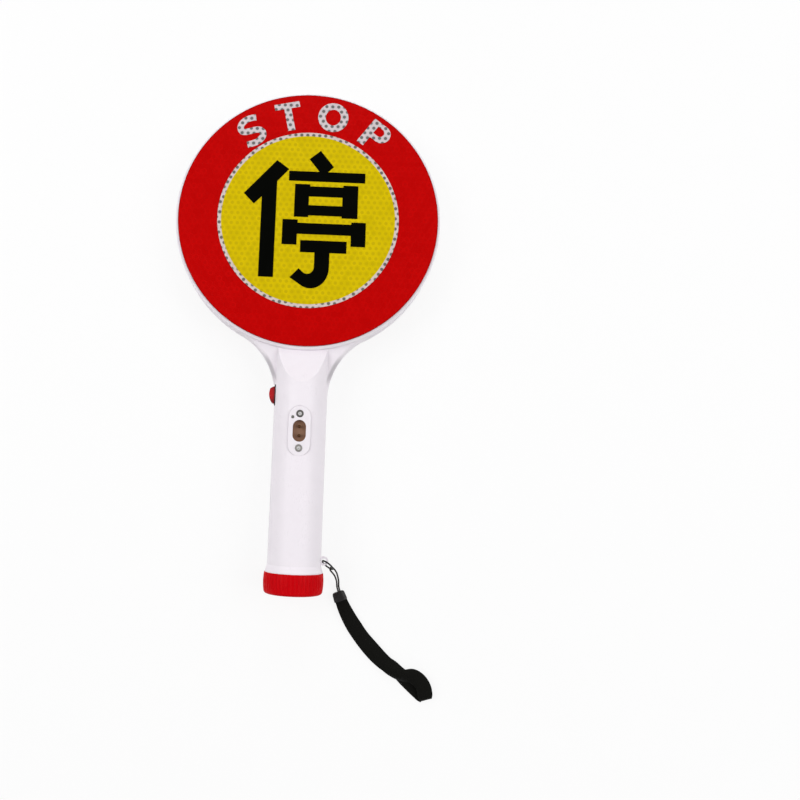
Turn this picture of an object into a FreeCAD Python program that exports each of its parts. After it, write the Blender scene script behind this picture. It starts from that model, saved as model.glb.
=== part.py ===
import FreeCAD, Part
import math
import os

from FreeCAD import Placement, Rotation, Vector

# The paddle is drawn in its own frame, in millimetres: Y runs from the end of the grip (0) to the top
# of the head, X points right and Z points out of the front face. The halves meet at Z = 0. Last of all
# it is laid down on its back, so that +Z is up and the origin is under the middle of the paddle.

# Head: a round hollow drum with a face board on each side
HEAD_DIAMETER = 180.0
HEAD_THICKNESS = 18.8
HEAD_EDGE_RADIUS = 1.5
FACE_MARGIN = 2.0
FACE_THICKNESS = 1.2
FILM_THICKNESS = 0.3
YELLOW_FILM_DIAMETER = 117.8
WHITE_RING_WIDTH = 2.5
FILM_DROP = 0.8

# Grip: a round tube with a slanted flat and two thin wings that flare into the head
GRIP_DIAMETER = 35.2
WALL = 2.0
FLAT_LENGTH = 23.0
FLAT_END_Z = 6.6
TUBE_OVERLAP = 10.0
FLARE_RADIUS = 50.0
WING_EDGE_HALF = 1.7
WING_MID_HALF = 3.4
WING_HEAD_HALF = 8.2
WING_EDGE_ROUND = 1.4
WING_HEAD_ROUND = 3.0

# Collar and threaded neck that the screw cap closes on
COLLAR_DIAMETER = 37.8
COLLAR_HEIGHT = 4.8
COLLAR_RIM = 0.9
NECK_DIAMETER = 31.0
NECK_WALL = 1.9
SEAT_GAP = 0.1

# Screw cap
CAP_HEIGHT = 13.7
CAP_DIAMETER = 39.5
CAP_BARREL = 0.45
CAP_CORNER_RADIUS = 2.2
CAP_FLOOR = 2.4
THREAD_ROOM = 0.6
RIB_COUNT = 48
RIB_GROOVE_RADIUS = 1.0
RIB_GROOVE_DEPTH = 0.6
SEAL_THICKNESS = 1.0
CONTACT_THICKNESS = 0.4
CONTACT_WIDTH = 5.0

# Rechargeable cell, the ribs that cradle it and the strip that brings its current back
CELL_DIAMETER = 18.4
CELL_LENGTH = 65.0
CELL_START_Y = 12.0
CELL_NUB_DIAMETER = 5.6
CELL_NUB_HEIGHT = 1.5
CELL_EDGE = 0.6
CRADLE_CLEARANCE = 0.2
CRADLE_COUNT = 3
RIB_THICKNESS = 2.0
CELL_PLATE_DIAMETER = 16.0
STRIP_WIDTH = 4.0
STRIP_THICKNESS = 0.4
STRIP_ANGLE = 38.0

# Screw bosses and the screws that join the halves
BOSS_GAP = 2.3
FLAT_SCREW_Y = 6.5
HEAD_SCREW_INSET = 8.0
HEAD_SCREW_COUNT = 6
BOSS_DIAMETER = 6.0
SUNK_BOSS_DIAMETER = 8.6
SCREW_DIAMETER = 2.4
SCREW_HEAD_DIAMETER = 5.0
SCREW_HEAD_HEIGHT = 1.8
SCREW_REACH = 5.0
PILOT_CLEARANCE = 0.05
HOLE_CLEARANCE = 0.3
HEAD_SCREW_SEAT = 3.0
GRIP_SCREW_SEAT = 5.0
HEAD_RIB_HEIGHT = 2.4
HEAD_RIB_THICKNESS = 1.2
HEAD_RIB_START = 10.0

# Ring of lamps inside the head
LED_BOARD_OUTER = 112.0
LED_BOARD_INNER = 80.0
BOARD_THICKNESS = 1.2
LED_COUNT = 12
LED_LENGTH = 3.5
LED_WIDTH = 2.8
LED_HEIGHT = 0.8
POST_DIAMETER = 4.0
POST_COUNT = 6
POST_GAP = 0.05

# Charging plate, socket and lamp on the front of the grip
PLATE_RISE = 13.9
PLATE_WIDTH = 14.8
PLATE_LENGTH = 32.8
PLATE_THICKNESS = 2.0
PLATE_TOP_Z = 17.4
PLATE_EDGE_RADIUS = 0.5
PLATE_CLEARANCE = 0.2
PLATE_SEAT_THICKNESS = 2.8
PLATE_SEAT_MARGIN = 2.2
PLATE_SCREW_SPACING = 22.4
PLATE_SCREW_HEAD_DIAMETER = 4.8
PLATE_SCREW_HEAD_HEIGHT = 1.0
PLATE_SCREW_DIAMETER = 2.0
PLATE_SCREW_LENGTH = 4.2
SOCKET_WIDTH = 8.6
SOCKET_LENGTH = 14.2
SOCKET_WALL = 1.0
SOCKET_DEPTH = 6.0
SOCKET_RECESS = 2.0
PIN_DIAMETER = 2.0
PIN_SPACING = 6.0
PIN_HEIGHT = 3.0
PIN_TAIL = 2.8
INDICATOR_DIAMETER = 2.0
INDICATOR_X = -4.6
INDICATOR_RISE = 8.9
SNUG_GAP = 0.05

# Rocker switch on the left of the grip
SWITCH_GAP = 1.0
SWITCH_TO_FLAT = 0.5
SWITCH_SEAT_X = 16.4
BEZEL_THICKNESS = 1.2
BEZEL_LENGTH = 14.0
BEZEL_WIDTH = 9.8
BEZEL_CORNER_RADIUS = 1.6
SWITCH_WALL = 0.5
SWITCH_DEPTH = 9.6
SWITCH_FLOOR = 3.6
ROCKER_PIVOT_X = 16.4
ROCKER_END_RADIUS = 6.0
ROCKER_END_HEIGHT = 3.6
ROCKER_CROWN = 4.8
ROCKER_SKIRT = 1.2
ROCKER_WIDTH = 6.6
ROCKER_CLEARANCE = 0.25
ROCKER_TILT = 8.0
TRUNNION_DIAMETER = 1.6
TRUNNION_CLEARANCE = 0.05
TERMINAL_LENGTH = 4.0
TERMINAL_WIDTH = 3.0
TERMINAL_THICKNESS = 0.8
TERMINAL_SPACING = 4.5

# Control board and what stands on it
CONTROL_BOARD_GAP = 0.9
CONTROL_BOARD_LENGTH = 28.0
CONTROL_BOARD_WIDTH = 18.0
CONTROL_BOARD_TOP_Z = -4.0
CONTROL_POST_INSET = 2.4
CHIP_SIZE = (6.0, 8.0, 1.6)
CAPACITOR_DIAMETER = 5.0
CAPACITOR_HEIGHT = 7.0
PLUG_SIZE = (7.0, 4.0, 4.0)
CHIP_X = -4.2
WIRE_DIAMETER = 1.4
CELL_LEAD_X = 5.6
LED_LEAD_X = 6.3
LED_LEAD_SPACING = 1.7
LED_LEAD_DROP = 13.0
SOCKET_LEAD_DROP = 4.1
SOCKET_LEAD_RISE = 3.3
SOCKET_LEAD_SPREAD = 2.6
LEAD_LAP = 5.0

# Ear on the collar and the ring that the wrist strap hangs on
EAR_REACH = 1.9
EAR_RISE = 3.0
EAR_RADIUS = 2.9
EAR_THICKNESS = 2.0
EAR_HOLE_DIAMETER = 3.3
RING_RADIUS = 4.3
RING_WIRE_DIAMETER = 1.1
RING_DROP_DEG = 25.0
RING_SWING_DEG = -45.6
RING_TWIST_DEG = 20.5

# Wrist strap, as it lies beside the grip: X and Y from the foot of the cap, Z above the surface
CORD_DIAMETER = 1.1
CORD_ROUTE = (
    (31.8, -0.33, 2.3), (30.75, 2.35, 2.3), (30.6, 6.2, 5.8), (29.8, 9.9, 10.2), (28.2, 14.4, 14.9),
    (24.9, 17.8, 17.1), (23.4, 15.8, 17.9), (26.8, 12.4, 15.7), (28.4, 9.0, 10.6), (29.3, 5.7, 6.0),
    (29.64, 1.89, 2.3), (30.69, -0.76, 2.3),
)
FERRULE_START = (30.6, -0.8)
FERRULE_END = (32.9, -6.7)
FERRULE_START_WIDTH = 7.2
FERRULE_END_WIDTH = 8.2
FERRULE_THICKNESS = 4.6
FERRULE_EDGE_RADIUS = 1.2
WEBBING_WIDTH = 9.8
WEBBING_THICKNESS = 1.1
LOWER_BAND_START = 12.0
LOWER_BAND = ((44.2, -26.9), (51.3, -36.0), (58.6, -43.9), (68.4, -50.2), (75.6, -54.8), (83.0, -61.9),
              (90.9, -68.8))
UPPER_BAND_START = 13.0
UPPER_BAND = ((45.4, -28.1), (53.5, -36.3), (61.0, -43.6), (67.8, -50.9), (74.4, -54.6), (82.0, -55.3),
              (88.8, -59.8), (92.0, -68.9))

# Values worked out from the ones above; along the grip each piece follows the one before it
HEAD_RADIUS = HEAD_DIAMETER / 2
HEAD_HALF = HEAD_THICKNESS / 2
HEAD_FLOOR_Z = HEAD_HALF - WALL
HEAD_SCREW_RADIUS = HEAD_RADIUS - HEAD_SCREW_INSET
FACE_RADIUS = HEAD_RADIUS - FACE_MARGIN
FACE_TOP_Z = HEAD_HALF + FACE_THICKNESS
GRIP_RADIUS = GRIP_DIAMETER / 2
GRIP_BORE = GRIP_RADIUS - WALL
COLLAR_Y = CAP_HEIGHT + SEAT_GAP
COLLAR_TOP_Y = COLLAR_Y + COLLAR_HEIGHT
EAR_X = GRIP_RADIUS + EAR_REACH
EAR_Y = COLLAR_TOP_Y + EAR_RISE
NECK_RADIUS = NECK_DIAMETER / 2
NECK_BORE = NECK_RADIUS - NECK_WALL
NECK_END_Y = CAP_FLOOR + SEAL_THICKNESS + SEAT_GAP
CAP_BORE = NECK_RADIUS + THREAD_ROOM
CELL_END_Y = CELL_START_Y + CELL_LENGTH
PARTITION_Y = CELL_END_Y + CONTACT_THICKNESS
LOW_SCREW_Y = PARTITION_Y + RIB_THICKNESS + BOSS_GAP + SUNK_BOSS_DIAMETER / 2
CONTROL_BOARD_Y = LOW_SCREW_Y + SUNK_BOSS_DIAMETER / 2 + CONTROL_BOARD_GAP
CONTROL_BOARD_END_Y = CONTROL_BOARD_Y + CONTROL_BOARD_LENGTH
PLATE_Y = CONTROL_BOARD_Y + PLATE_RISE
PLATE_SEAT_Z = PLATE_TOP_Z - PLATE_THICKNESS
SWITCH_Y = PLATE_Y + PLATE_LENGTH / 2 + SWITCH_GAP + BEZEL_LENGTH / 2
FLAT_START_Y = SWITCH_Y + BEZEL_LENGTH / 2 + SWITCH_TO_FLAT
FLAT_END_Y = FLAT_START_Y + FLAT_LENGTH
HIGH_SCREW_Y = FLAT_START_Y + FLAT_SCREW_Y
TUBE_TOP_Y = FLAT_END_Y + TUBE_OVERLAP
HEAD_Y = FLAT_END_Y + HEAD_RADIUS
FILM_Y = HEAD_Y - FILM_DROP
TOTAL_LENGTH = HEAD_Y + HEAD_RADIUS
FAR = 2 * TOTAL_LENGTH


def box(x0, x1, y0, y1, z0, z1):
    """Box between two corners."""
    return Part.makeBox(x1 - x0, y1 - y0, z1 - z0, Vector(x0, y0, z0))


def rod_y(radius, y0, y1, x=0.0, z=0.0):
    """Round rod along the grip."""
    return Part.makeCylinder(radius, y1 - y0, Vector(x, y0, z), Vector(0, 1, 0))


def rod_z(radius, z0, z1, x, y):
    """Round rod through the faces."""
    return Part.makeCylinder(radius, z1 - z0, Vector(x, y, z0), Vector(0, 0, 1))


def fuse_all(shapes):
    """One shape from several that overlap or touch."""
    return shapes[0].multiFuse(shapes[1:]).removeSplitter() if len(shapes) > 1 else shapes[0]


def front_half():
    """Everything in front of the plane where the halves meet."""
    return box(-FAR, FAR, -FAR, FAR, 0.0, FAR)


def mirrored(shape):
    """The same shape on the other side of the plane where the halves meet."""
    return shape.mirror(Vector(0, 0, 0), Vector(0, 0, 1))


def arc(start, middle, end):
    """Edge along a circle through three points."""
    return Part.Arc(start, middle, end).toShape()


def line(start, end):
    """Straight edge."""
    return Part.LineSegment(start, end).toShape()


def outline_face(edges):
    """Flat face inside a closed run of edges."""
    return Part.Face(Part.Wire(edges))


def stadium(width, length, y, z0, z1, x=0.0):
    """Prism with two straight sides along Y and round ends."""
    r = width / 2
    reach = length / 2 - r
    top, low = y + reach, y - reach
    edges = [
        line(Vector(x + r, low, z0), Vector(x + r, top, z0)),
        arc(Vector(x + r, top, z0), Vector(x, top + r, z0), Vector(x - r, top, z0)),
        line(Vector(x - r, top, z0), Vector(x - r, low, z0)),
        arc(Vector(x - r, low, z0), Vector(x, low - r, z0), Vector(x + r, low, z0)),
    ]
    return outline_face(edges).extrude(Vector(0, 0, z1 - z0))


def on_circle(radius, count, start_deg):
    """Points evenly spaced round the middle of the head."""
    angles = [math.radians(start_deg + 360.0 * i / count) for i in range(count)]
    return [(radius * math.cos(a), HEAD_Y + radius * math.sin(a)) for a in angles]


def half_turned(points):
    """Front half of a turned shape, from its (radius, y) outline."""
    corners = [Vector(r, y, 0) for r, y in points]
    face = Part.Face(Part.makePolygon(corners + corners[:1]))
    return face.revolve(Vector(0, 0, 0), Vector(0, 1, 0), -180)


def grip_outside():
    """Neck, collar and grip as one turned form."""
    return half_turned([
        (0, NECK_END_Y), (NECK_RADIUS, NECK_END_Y), (NECK_RADIUS, COLLAR_Y),
        (COLLAR_DIAMETER / 2, COLLAR_Y), (COLLAR_DIAMETER / 2, COLLAR_Y + COLLAR_RIM),
        (GRIP_RADIUS, COLLAR_TOP_Y), (GRIP_RADIUS, TUBE_TOP_Y), (0, TUBE_TOP_Y),
    ])


def grip_inside():
    """Room inside the neck and the grip."""
    return half_turned([
        (0, 0), (NECK_BORE, 0), (NECK_BORE, COLLAR_Y),
        (GRIP_BORE, COLLAR_TOP_Y), (GRIP_BORE, TUBE_TOP_Y), (0, TUBE_TOP_Y),
    ])


def above_flat(inset):
    """What the slanted flat takes off the front of the grip, or of its bore."""
    slope = math.atan2(FLAT_END_Z - GRIP_RADIUS, FLAT_END_Y - FLAT_START_Y)
    along = Vector(0, math.cos(slope), math.sin(slope))
    out = Vector(0, -math.sin(slope), math.cos(slope))
    start = Vector(-GRIP_DIAMETER, FLAT_START_Y, GRIP_RADIUS) - out * inset - along * GRIP_DIAMETER
    end = start + along * (3 * GRIP_DIAMETER)
    lift = out * GRIP_DIAMETER
    face = Part.Face(Part.makePolygon([start, end, end + lift, start + lift, start]))
    return face.extrude(Vector(2 * GRIP_DIAMETER, 0, 0))


def wing_plan(inset):
    """Plan of both wings: arcs that run tangent from the grip's sides into the head's rim."""
    grip = GRIP_RADIUS - inset
    head = HEAD_RADIUS - inset
    flare = FLARE_RADIUS + inset
    cx = grip + flare
    drop = math.sqrt((head + flare) ** 2 - cx ** 2)
    centre = Vector(cx, HEAD_Y - drop, 0)
    low = Vector(grip, centre.y, 0)
    to_head = Vector(-cx, drop, 0).normalize()
    high = centre + to_head * flare
    middle = centre + (Vector(-1, 0, 0) + to_head).normalize() * flare

    def left(p):
        return Vector(-p.x, p.y, p.z)

    return outline_face([
        line(left(low), low), arc(low, middle, high),
        line(high, left(high)), arc(left(high), left(middle), left(low)),
    ])


def half_wings(inset):
    """Front half of the wings, thin beside the grip and rising to the head."""
    plan = wing_plan(inset)
    low_y = plan.BoundBox.YMin
    high_y = plan.BoundBox.YMax
    middle_y = (low_y + high_y) / 2
    points = [(low_y, WING_EDGE_HALF), (middle_y, WING_MID_HALF), (high_y, WING_HEAD_HALF)]
    low, middle, high = [Vector(-HEAD_RADIUS, y, z - inset) for y, z in points]
    deep = Vector(0, 0, -HEAD_THICKNESS)
    profile = outline_face([
        line(low + deep, low), arc(low, middle, high), line(high, high + deep), line(high + deep, low + deep),
    ])
    return plan.extrude(Vector(0, 0, HEAD_HALF)).common(profile.extrude(Vector(HEAD_DIAMETER, 0, 0)))


def rounded_wings(wings):
    """Wings with their outer edges rounded, more and more towards the head."""
    outer = [e for e in wings.Edges if e.BoundBox.ZMin > 0 and e.BoundBox.ZLength > WING_EDGE_HALF]
    for edge in outer:
        radii = [WING_EDGE_ROUND, WING_HEAD_ROUND]
        if edge.firstVertex().Point.y > edge.lastVertex().Point.y:
            radii.reverse()
        same = min(wings.Edges, key=lambda e: e.CenterOfMass.distanceToPoint(edge.CenterOfMass))
        wings = wings.makeFillet(radii[0], radii[1], [same])
    return wings


def half_drum(inset, edge):
    """Front half of the head's drum, with a rounded rim."""
    r = HEAD_RADIUS - inset
    z = HEAD_HALF - inset
    cut = edge * (1 - math.sqrt(0.5))
    edges = [
        line(Vector(0, 0, 0), Vector(r, 0, 0)), line(Vector(r, 0, 0), Vector(r, 0, z - edge)),
        arc(Vector(r, 0, z - edge), Vector(r - cut, 0, z - cut), Vector(r - edge, 0, z)),
        line(Vector(r - edge, 0, z), Vector(0, 0, z)), line(Vector(0, 0, z), Vector(0, 0, 0)),
    ]
    drum = outline_face(edges).revolve(Vector(0, 0, 0), Vector(0, 0, 1), 360)
    drum.translate(Vector(0, HEAD_Y, 0))
    return drum


def half_outside():
    """Front half of the body as a solid form, before it is hollowed."""
    grip = grip_outside().cut(above_flat(0.0))
    return fuse_all([half_drum(0.0, HEAD_EDGE_RADIUS), rounded_wings(half_wings(0.0)), grip])


def half_inside():
    """Front half of the room inside the body."""
    grip = grip_inside().cut(above_flat(WALL))
    return fuse_all([half_drum(WALL, HEAD_EDGE_RADIUS / 2), half_wings(WALL), grip])


def cradle_ribs():
    """Half-round ribs that hold the cell, and the wall at its far end."""
    hold = CELL_DIAMETER / 2 + CRADLE_CLEARANCE
    step = (PARTITION_Y - COLLAR_TOP_Y) / CRADLE_COUNT
    ribs = []
    for i in range(CRADLE_COUNT):
        y = COLLAR_TOP_Y + step * (i + 0.25)
        rib = rod_y(GRIP_BORE + SNUG_GAP, y, y + RIB_THICKNESS)
        ribs.append(rib.cut(rod_y(hold, y - 1, y + RIB_THICKNESS + 1)))
    wall = rod_y(GRIP_BORE + SNUG_GAP, PARTITION_Y, PARTITION_Y + RIB_THICKNESS)
    ribs.append(wall.cut(rod_y(WIRE_DIAMETER, PARTITION_Y - 1, PARTITION_Y + RIB_THICKNESS + 1, CELL_LEAD_X)))
    return Part.makeCompound(ribs).common(front_half())


def head_ribs():
    """Stiffening ribs on the inner side of a head face, out to the screw bosses."""
    reach = HEAD_SCREW_RADIUS - BOSS_DIAMETER / 4
    ribs = []
    for i in range(HEAD_SCREW_COUNT):
        half = HEAD_RIB_THICKNESS / 2
        rib = box(HEAD_RIB_START, reach, -half, half, HEAD_FLOOR_Z - HEAD_RIB_HEIGHT, HEAD_HALF - WALL / 2)
        rib.rotate(Vector(0, 0, 0), Vector(0, 0, 1), 360.0 * i / HEAD_SCREW_COUNT)
        rib.translate(Vector(0, HEAD_Y, 0))
        ribs.append(rib)
    return ribs


def board_posts():
    """Posts that clamp the lamp board between the halves."""
    spots = on_circle((LED_BOARD_OUTER + LED_BOARD_INNER) / 4, POST_COUNT, 30.0)
    low = BOARD_THICKNESS / 2 + POST_GAP
    return [rod_z(POST_DIAMETER / 2, low, HEAD_HALF - WALL / 2, x, y) for x, y in spots]


def screw_spots():
    """Every screw that joins the halves: x, y and the depth of its seat below the rear skin."""
    grip = [(0.0, y, GRIP_SCREW_SEAT) for y in (LOW_SCREW_Y, HIGH_SCREW_Y)]
    head = [(x, y, HEAD_SCREW_SEAT) for x, y in on_circle(HEAD_SCREW_RADIUS, HEAD_SCREW_COUNT, 0.0)]
    return grip + head


def skin_depth(y):
    """How far behind the parting plane the rear skin lies on the middle line of the paddle."""
    if y > FLAT_END_Y:
        return HEAD_HALF
    if y < FLAT_START_Y:
        return GRIP_RADIUS
    share = (y - FLAT_START_Y) / (FLAT_END_Y - FLAT_START_Y)
    return GRIP_RADIUS + share * (FLAT_END_Z - GRIP_RADIUS)


def switch_opening():
    """Room in the grip's side for the switch: a flat seat and the hole for its body."""
    seat = box(-FAR, -SWITCH_SEAT_X, SWITCH_Y - BEZEL_LENGTH / 2 - PLATE_CLEARANCE,
               SWITCH_Y + BEZEL_LENGTH / 2 + PLATE_CLEARANCE, -BEZEL_WIDTH / 2 - PLATE_CLEARANCE,
               BEZEL_WIDTH / 2 + PLATE_CLEARANCE)
    length = switch_body_length() + 2 * SNUG_GAP
    width = switch_body_width() + 2 * SNUG_GAP
    hole = box(-FAR, -SWITCH_SEAT_X + SWITCH_DEPTH, SWITCH_Y - length / 2, SWITCH_Y + length / 2,
               -width / 2, width / 2)
    return seat.fuse(hole)


def front_shell():
    """Front half: skin, plate seat, bosses, ribs and posts."""
    outside = half_outside()
    seat = stadium(PLATE_WIDTH + 2 * PLATE_SEAT_MARGIN, PLATE_LENGTH + 2 * PLATE_SEAT_MARGIN, PLATE_Y,
                   PLATE_SEAT_Z - PLATE_SEAT_THICKNESS, PLATE_TOP_Z)
    extras = head_ribs() + board_posts() + [seat]
    for x, y, _ in screw_spots():
        extras.append(rod_z(BOSS_DIAMETER / 2, SNUG_GAP, skin_depth(y) - WALL / 2, x, y))
    cuts = [switch_opening()]
    for x, y, _ in screw_spots():
        cuts.append(rod_z(SCREW_DIAMETER / 2 + PILOT_CLEARANCE, -1, SCREW_REACH + 0.5, x, y))
    cuts.append(stadium(PLATE_WIDTH + 2 * PLATE_CLEARANCE, PLATE_LENGTH + 2 * PLATE_CLEARANCE, PLATE_Y,
                        PLATE_SEAT_Z, FAR))
    outer = 2 * (SOCKET_WALL + SNUG_GAP)
    cuts.append(stadium(SOCKET_WIDTH + outer, SOCKET_LENGTH + outer, PLATE_Y,
                        PLATE_SEAT_Z - SOCKET_DEPTH, PLATE_SEAT_Z + 1))
    for side in (-1, 1):
        cuts.append(rod_z(PLATE_SCREW_DIAMETER / 2 + PILOT_CLEARANCE, PLATE_SEAT_Z - SOCKET_DEPTH,
                          PLATE_SEAT_Z + 1, 0.0, PLATE_Y + side * PLATE_SCREW_SPACING / 2))
    cuts.append(rod_z(INDICATOR_DIAMETER / 2 + SNUG_GAP, PLATE_SEAT_Z - SOCKET_DEPTH, PLATE_SEAT_Z + 1,
                      INDICATOR_X, PLATE_Y + INDICATOR_RISE))
    shell = outside.cut(half_inside())
    shell = shell.multiFuse([part.common(outside) for part in extras] + cradle_ribs().Solids)
    return shell.cut(Part.makeCompound(cuts)).removeSplitter()


def control_posts():
    """Posts under the corners of the control board."""
    low = CONTROL_BOARD_TOP_Z - BOARD_THICKNESS - SNUG_GAP
    x = CONTROL_BOARD_WIDTH / 2 - CONTROL_POST_INSET
    ys = (CONTROL_BOARD_Y + CONTROL_POST_INSET, CONTROL_BOARD_END_Y - CONTROL_POST_INSET)
    return [rod_z(POST_DIAMETER / 2, -GRIP_RADIUS, low, side * x, y) for side in (-1, 1) for y in ys]


def strip_shape(extra):
    """Flat strip along the bore, grown all round by extra for its notch."""
    half = STRIP_WIDTH / 2 + extra
    seat = math.sqrt(NECK_BORE ** 2 - (STRIP_WIDTH / 2) ** 2)
    low = -seat - extra
    high = -seat + STRIP_THICKNESS + extra
    strip = box(-half, half, CAP_FLOOR + CONTACT_THICKNESS + SEAT_GAP, CONTROL_BOARD_Y, low, high)
    strip.rotate(Vector(0, 0, 0), Vector(0, 1, 0), -STRIP_ANGLE)
    return strip


def strap_ear():
    """Small pierced ear on the right of the collar."""
    ear = rod_z(EAR_RADIUS, -EAR_THICKNESS, 0.0, EAR_X, EAR_Y)
    foot = box(GRIP_RADIUS - WALL / 2, EAR_X, EAR_Y - EAR_RADIUS, EAR_Y + EAR_RADIUS, -EAR_THICKNESS, 0.0)
    return ear.fuse(foot).cut(rod_z(EAR_HOLE_DIAMETER / 2, -EAR_THICKNESS - 1, 1, EAR_X, EAR_Y))


def rear_shell():
    """Rear half: skin, sunk screw seats, bosses, ribs, posts and the strap's ear."""
    outside = mirrored(half_outside())
    extras = [mirrored(part) for part in head_ribs() + board_posts()] + control_posts()
    cuts = [switch_opening(), strip_shape(SNUG_GAP)]
    for x, y, seat in screw_spots():
        skin = skin_depth(y)
        extras.append(rod_z(SUNK_BOSS_DIAMETER / 2, -skin + WALL / 2, -SNUG_GAP, x, y))
        cuts.append(rod_z(SCREW_DIAMETER / 2 + HOLE_CLEARANCE, -skin - 1, 1, x, y))
        cuts.append(rod_z(SCREW_HEAD_DIAMETER / 2 + HOLE_CLEARANCE, -FAR, -skin + seat, x, y))
    shell = outside.cut(mirrored(half_inside()))
    extras = [part.common(outside) for part in extras]
    shell = shell.multiFuse(extras + mirrored(cradle_ribs()).Solids + [strap_ear()])
    return shell.cut(Part.makeCompound(cuts)).removeSplitter()


def shell_screws():
    """Screws from the rear, all alike."""
    screws = []
    for x, y, seat in screw_spots():
        under_head = -skin_depth(y) + seat
        head = rod_z(SCREW_HEAD_DIAMETER / 2, under_head - SCREW_HEAD_HEIGHT, under_head, x, y)
        rim = [e for e in head.Edges if abs(e.CenterOfMass.z - under_head + SCREW_HEAD_HEIGHT) < 0.01]
        head = head.makeChamfer(SCREW_HEAD_HEIGHT / 4, [e for e in rim if len(e.Vertexes) == 1])
        screws.append(head.fuse(rod_z(SCREW_DIAMETER / 2, under_head, SCREW_REACH, x, y)))
    return Part.makeCompound(screws)


def face_board():
    """Red board on the front of the head."""
    return rod_z(FACE_RADIUS, HEAD_HALF, FACE_TOP_Z, 0.0, HEAD_Y)


def white_film():
    """White reflective ring on the front board, a little below its middle."""
    outer = YELLOW_FILM_DIAMETER / 2 + WHITE_RING_WIDTH
    film = rod_z(outer, FACE_TOP_Z, FACE_TOP_Z + FILM_THICKNESS, 0.0, FILM_Y)
    return film.cut(rod_z(YELLOW_FILM_DIAMETER / 2, FACE_TOP_Z - 1, FACE_TOP_Z + 1, 0.0, FILM_Y))


def yellow_film():
    """Yellow reflective disc inside the white ring."""
    return rod_z(YELLOW_FILM_DIAMETER / 2, FACE_TOP_Z, FACE_TOP_Z + FILM_THICKNESS, 0.0, FILM_Y)


def led_board():
    """Ring-shaped lamp board in the middle of the head."""
    half = BOARD_THICKNESS / 2
    board = rod_z(LED_BOARD_OUTER / 2, -half, half, 0.0, HEAD_Y)
    return board.cut(rod_z(LED_BOARD_INNER / 2, -half - 1, half + 1, 0.0, HEAD_Y))


def leds():
    """Small flat lamps on both sides of the ring board."""
    radius = (LED_BOARD_OUTER + LED_BOARD_INNER) / 4
    lamps = []
    for i in range(LED_COUNT):
        lamp = box(radius - LED_WIDTH / 2, radius + LED_WIDTH / 2, -LED_LENGTH / 2, LED_LENGTH / 2,
                   BOARD_THICKNESS / 2, BOARD_THICKNESS / 2 + LED_HEIGHT)
        lamp.rotate(Vector(0, 0, 0), Vector(0, 0, 1), 360.0 * (i + 0.5) / LED_COUNT)
        lamp.translate(Vector(0, HEAD_Y, 0))
        lamps += [lamp, mirrored(lamp)]
    return Part.makeCompound(lamps)


def charge_plate():
    """Oval plate let into the front of the grip."""
    plate = stadium(PLATE_WIDTH, PLATE_LENGTH, PLATE_Y, PLATE_SEAT_Z, PLATE_TOP_Z)
    top = [e for e in plate.Edges if abs(e.BoundBox.ZMin - PLATE_TOP_Z) < 0.01]
    plate = plate.makeFillet(PLATE_EDGE_RADIUS, top)
    cuts = [stadium(SOCKET_WIDTH, SOCKET_LENGTH, PLATE_Y, PLATE_SEAT_Z - 1, PLATE_TOP_Z + 1)]
    for side in (-1, 1):
        y = PLATE_Y + side * PLATE_SCREW_SPACING / 2
        cuts.append(rod_z(PLATE_SCREW_DIAMETER / 2 + HOLE_CLEARANCE, PLATE_SEAT_Z - 1, PLATE_TOP_Z + 1,
                          0.0, y))
        cuts.append(rod_z(PLATE_SCREW_HEAD_DIAMETER / 2 + PLATE_CLEARANCE / 2,
                          PLATE_TOP_Z - PLATE_SCREW_HEAD_HEIGHT, PLATE_TOP_Z + 1, 0.0, y))
    cuts.append(rod_z(INDICATOR_DIAMETER / 2 + SNUG_GAP, PLATE_SEAT_Z - 1, PLATE_TOP_Z + 1,
                      INDICATOR_X, PLATE_Y + INDICATOR_RISE))
    return plate.cut(Part.makeCompound(cuts))


def charge_plate_screws():
    """Two small screws that hold the plate."""
    seat = PLATE_TOP_Z - PLATE_SCREW_HEAD_HEIGHT
    screws = []
    for side in (-1, 1):
        y = PLATE_Y + side * PLATE_SCREW_SPACING / 2
        head = rod_z(PLATE_SCREW_HEAD_DIAMETER / 2, seat, PLATE_TOP_Z, 0.0, y)
        screws.append(head.fuse(rod_z(PLATE_SCREW_DIAMETER / 2, seat - PLATE_SCREW_LENGTH, seat, 0.0, y)))
    return Part.makeCompound(screws)


def charge_socket():
    """Brown insulating insert with its shallow oval well."""
    outer = 2 * SOCKET_WALL
    insert = stadium(SOCKET_WIDTH + outer, SOCKET_LENGTH + outer, PLATE_Y, PLATE_SEAT_Z - SOCKET_DEPTH,
                     PLATE_SEAT_Z)
    cuts = [stadium(SOCKET_WIDTH, SOCKET_LENGTH, PLATE_Y, PLATE_SEAT_Z - SOCKET_RECESS, PLATE_SEAT_Z + 1)]
    for side in (-1, 1):
        cuts.append(rod_z(PIN_DIAMETER / 2 + SNUG_GAP / 2, PLATE_SEAT_Z - SOCKET_DEPTH - 1, PLATE_SEAT_Z + 1,
                          0.0, PLATE_Y + side * PIN_SPACING / 2))
    return insert.cut(Part.makeCompound(cuts))


def charge_pins():
    """Two round contact pins through the insert."""
    floor_z = PLATE_SEAT_Z - SOCKET_RECESS
    tail_z = PLATE_SEAT_Z - SOCKET_DEPTH - PIN_TAIL
    pins = []
    for side in (-1, 1):
        pin = rod_z(PIN_DIAMETER / 2, tail_z, floor_z + PIN_HEIGHT, 0.0, PLATE_Y + side * PIN_SPACING / 2)
        tip = [e for e in pin.Edges if abs(e.BoundBox.ZMin - floor_z - PIN_HEIGHT) < 0.01]
        pins.append(pin.makeFillet(PIN_DIAMETER / 5, tip))
    return Part.makeCompound(pins)


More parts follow.
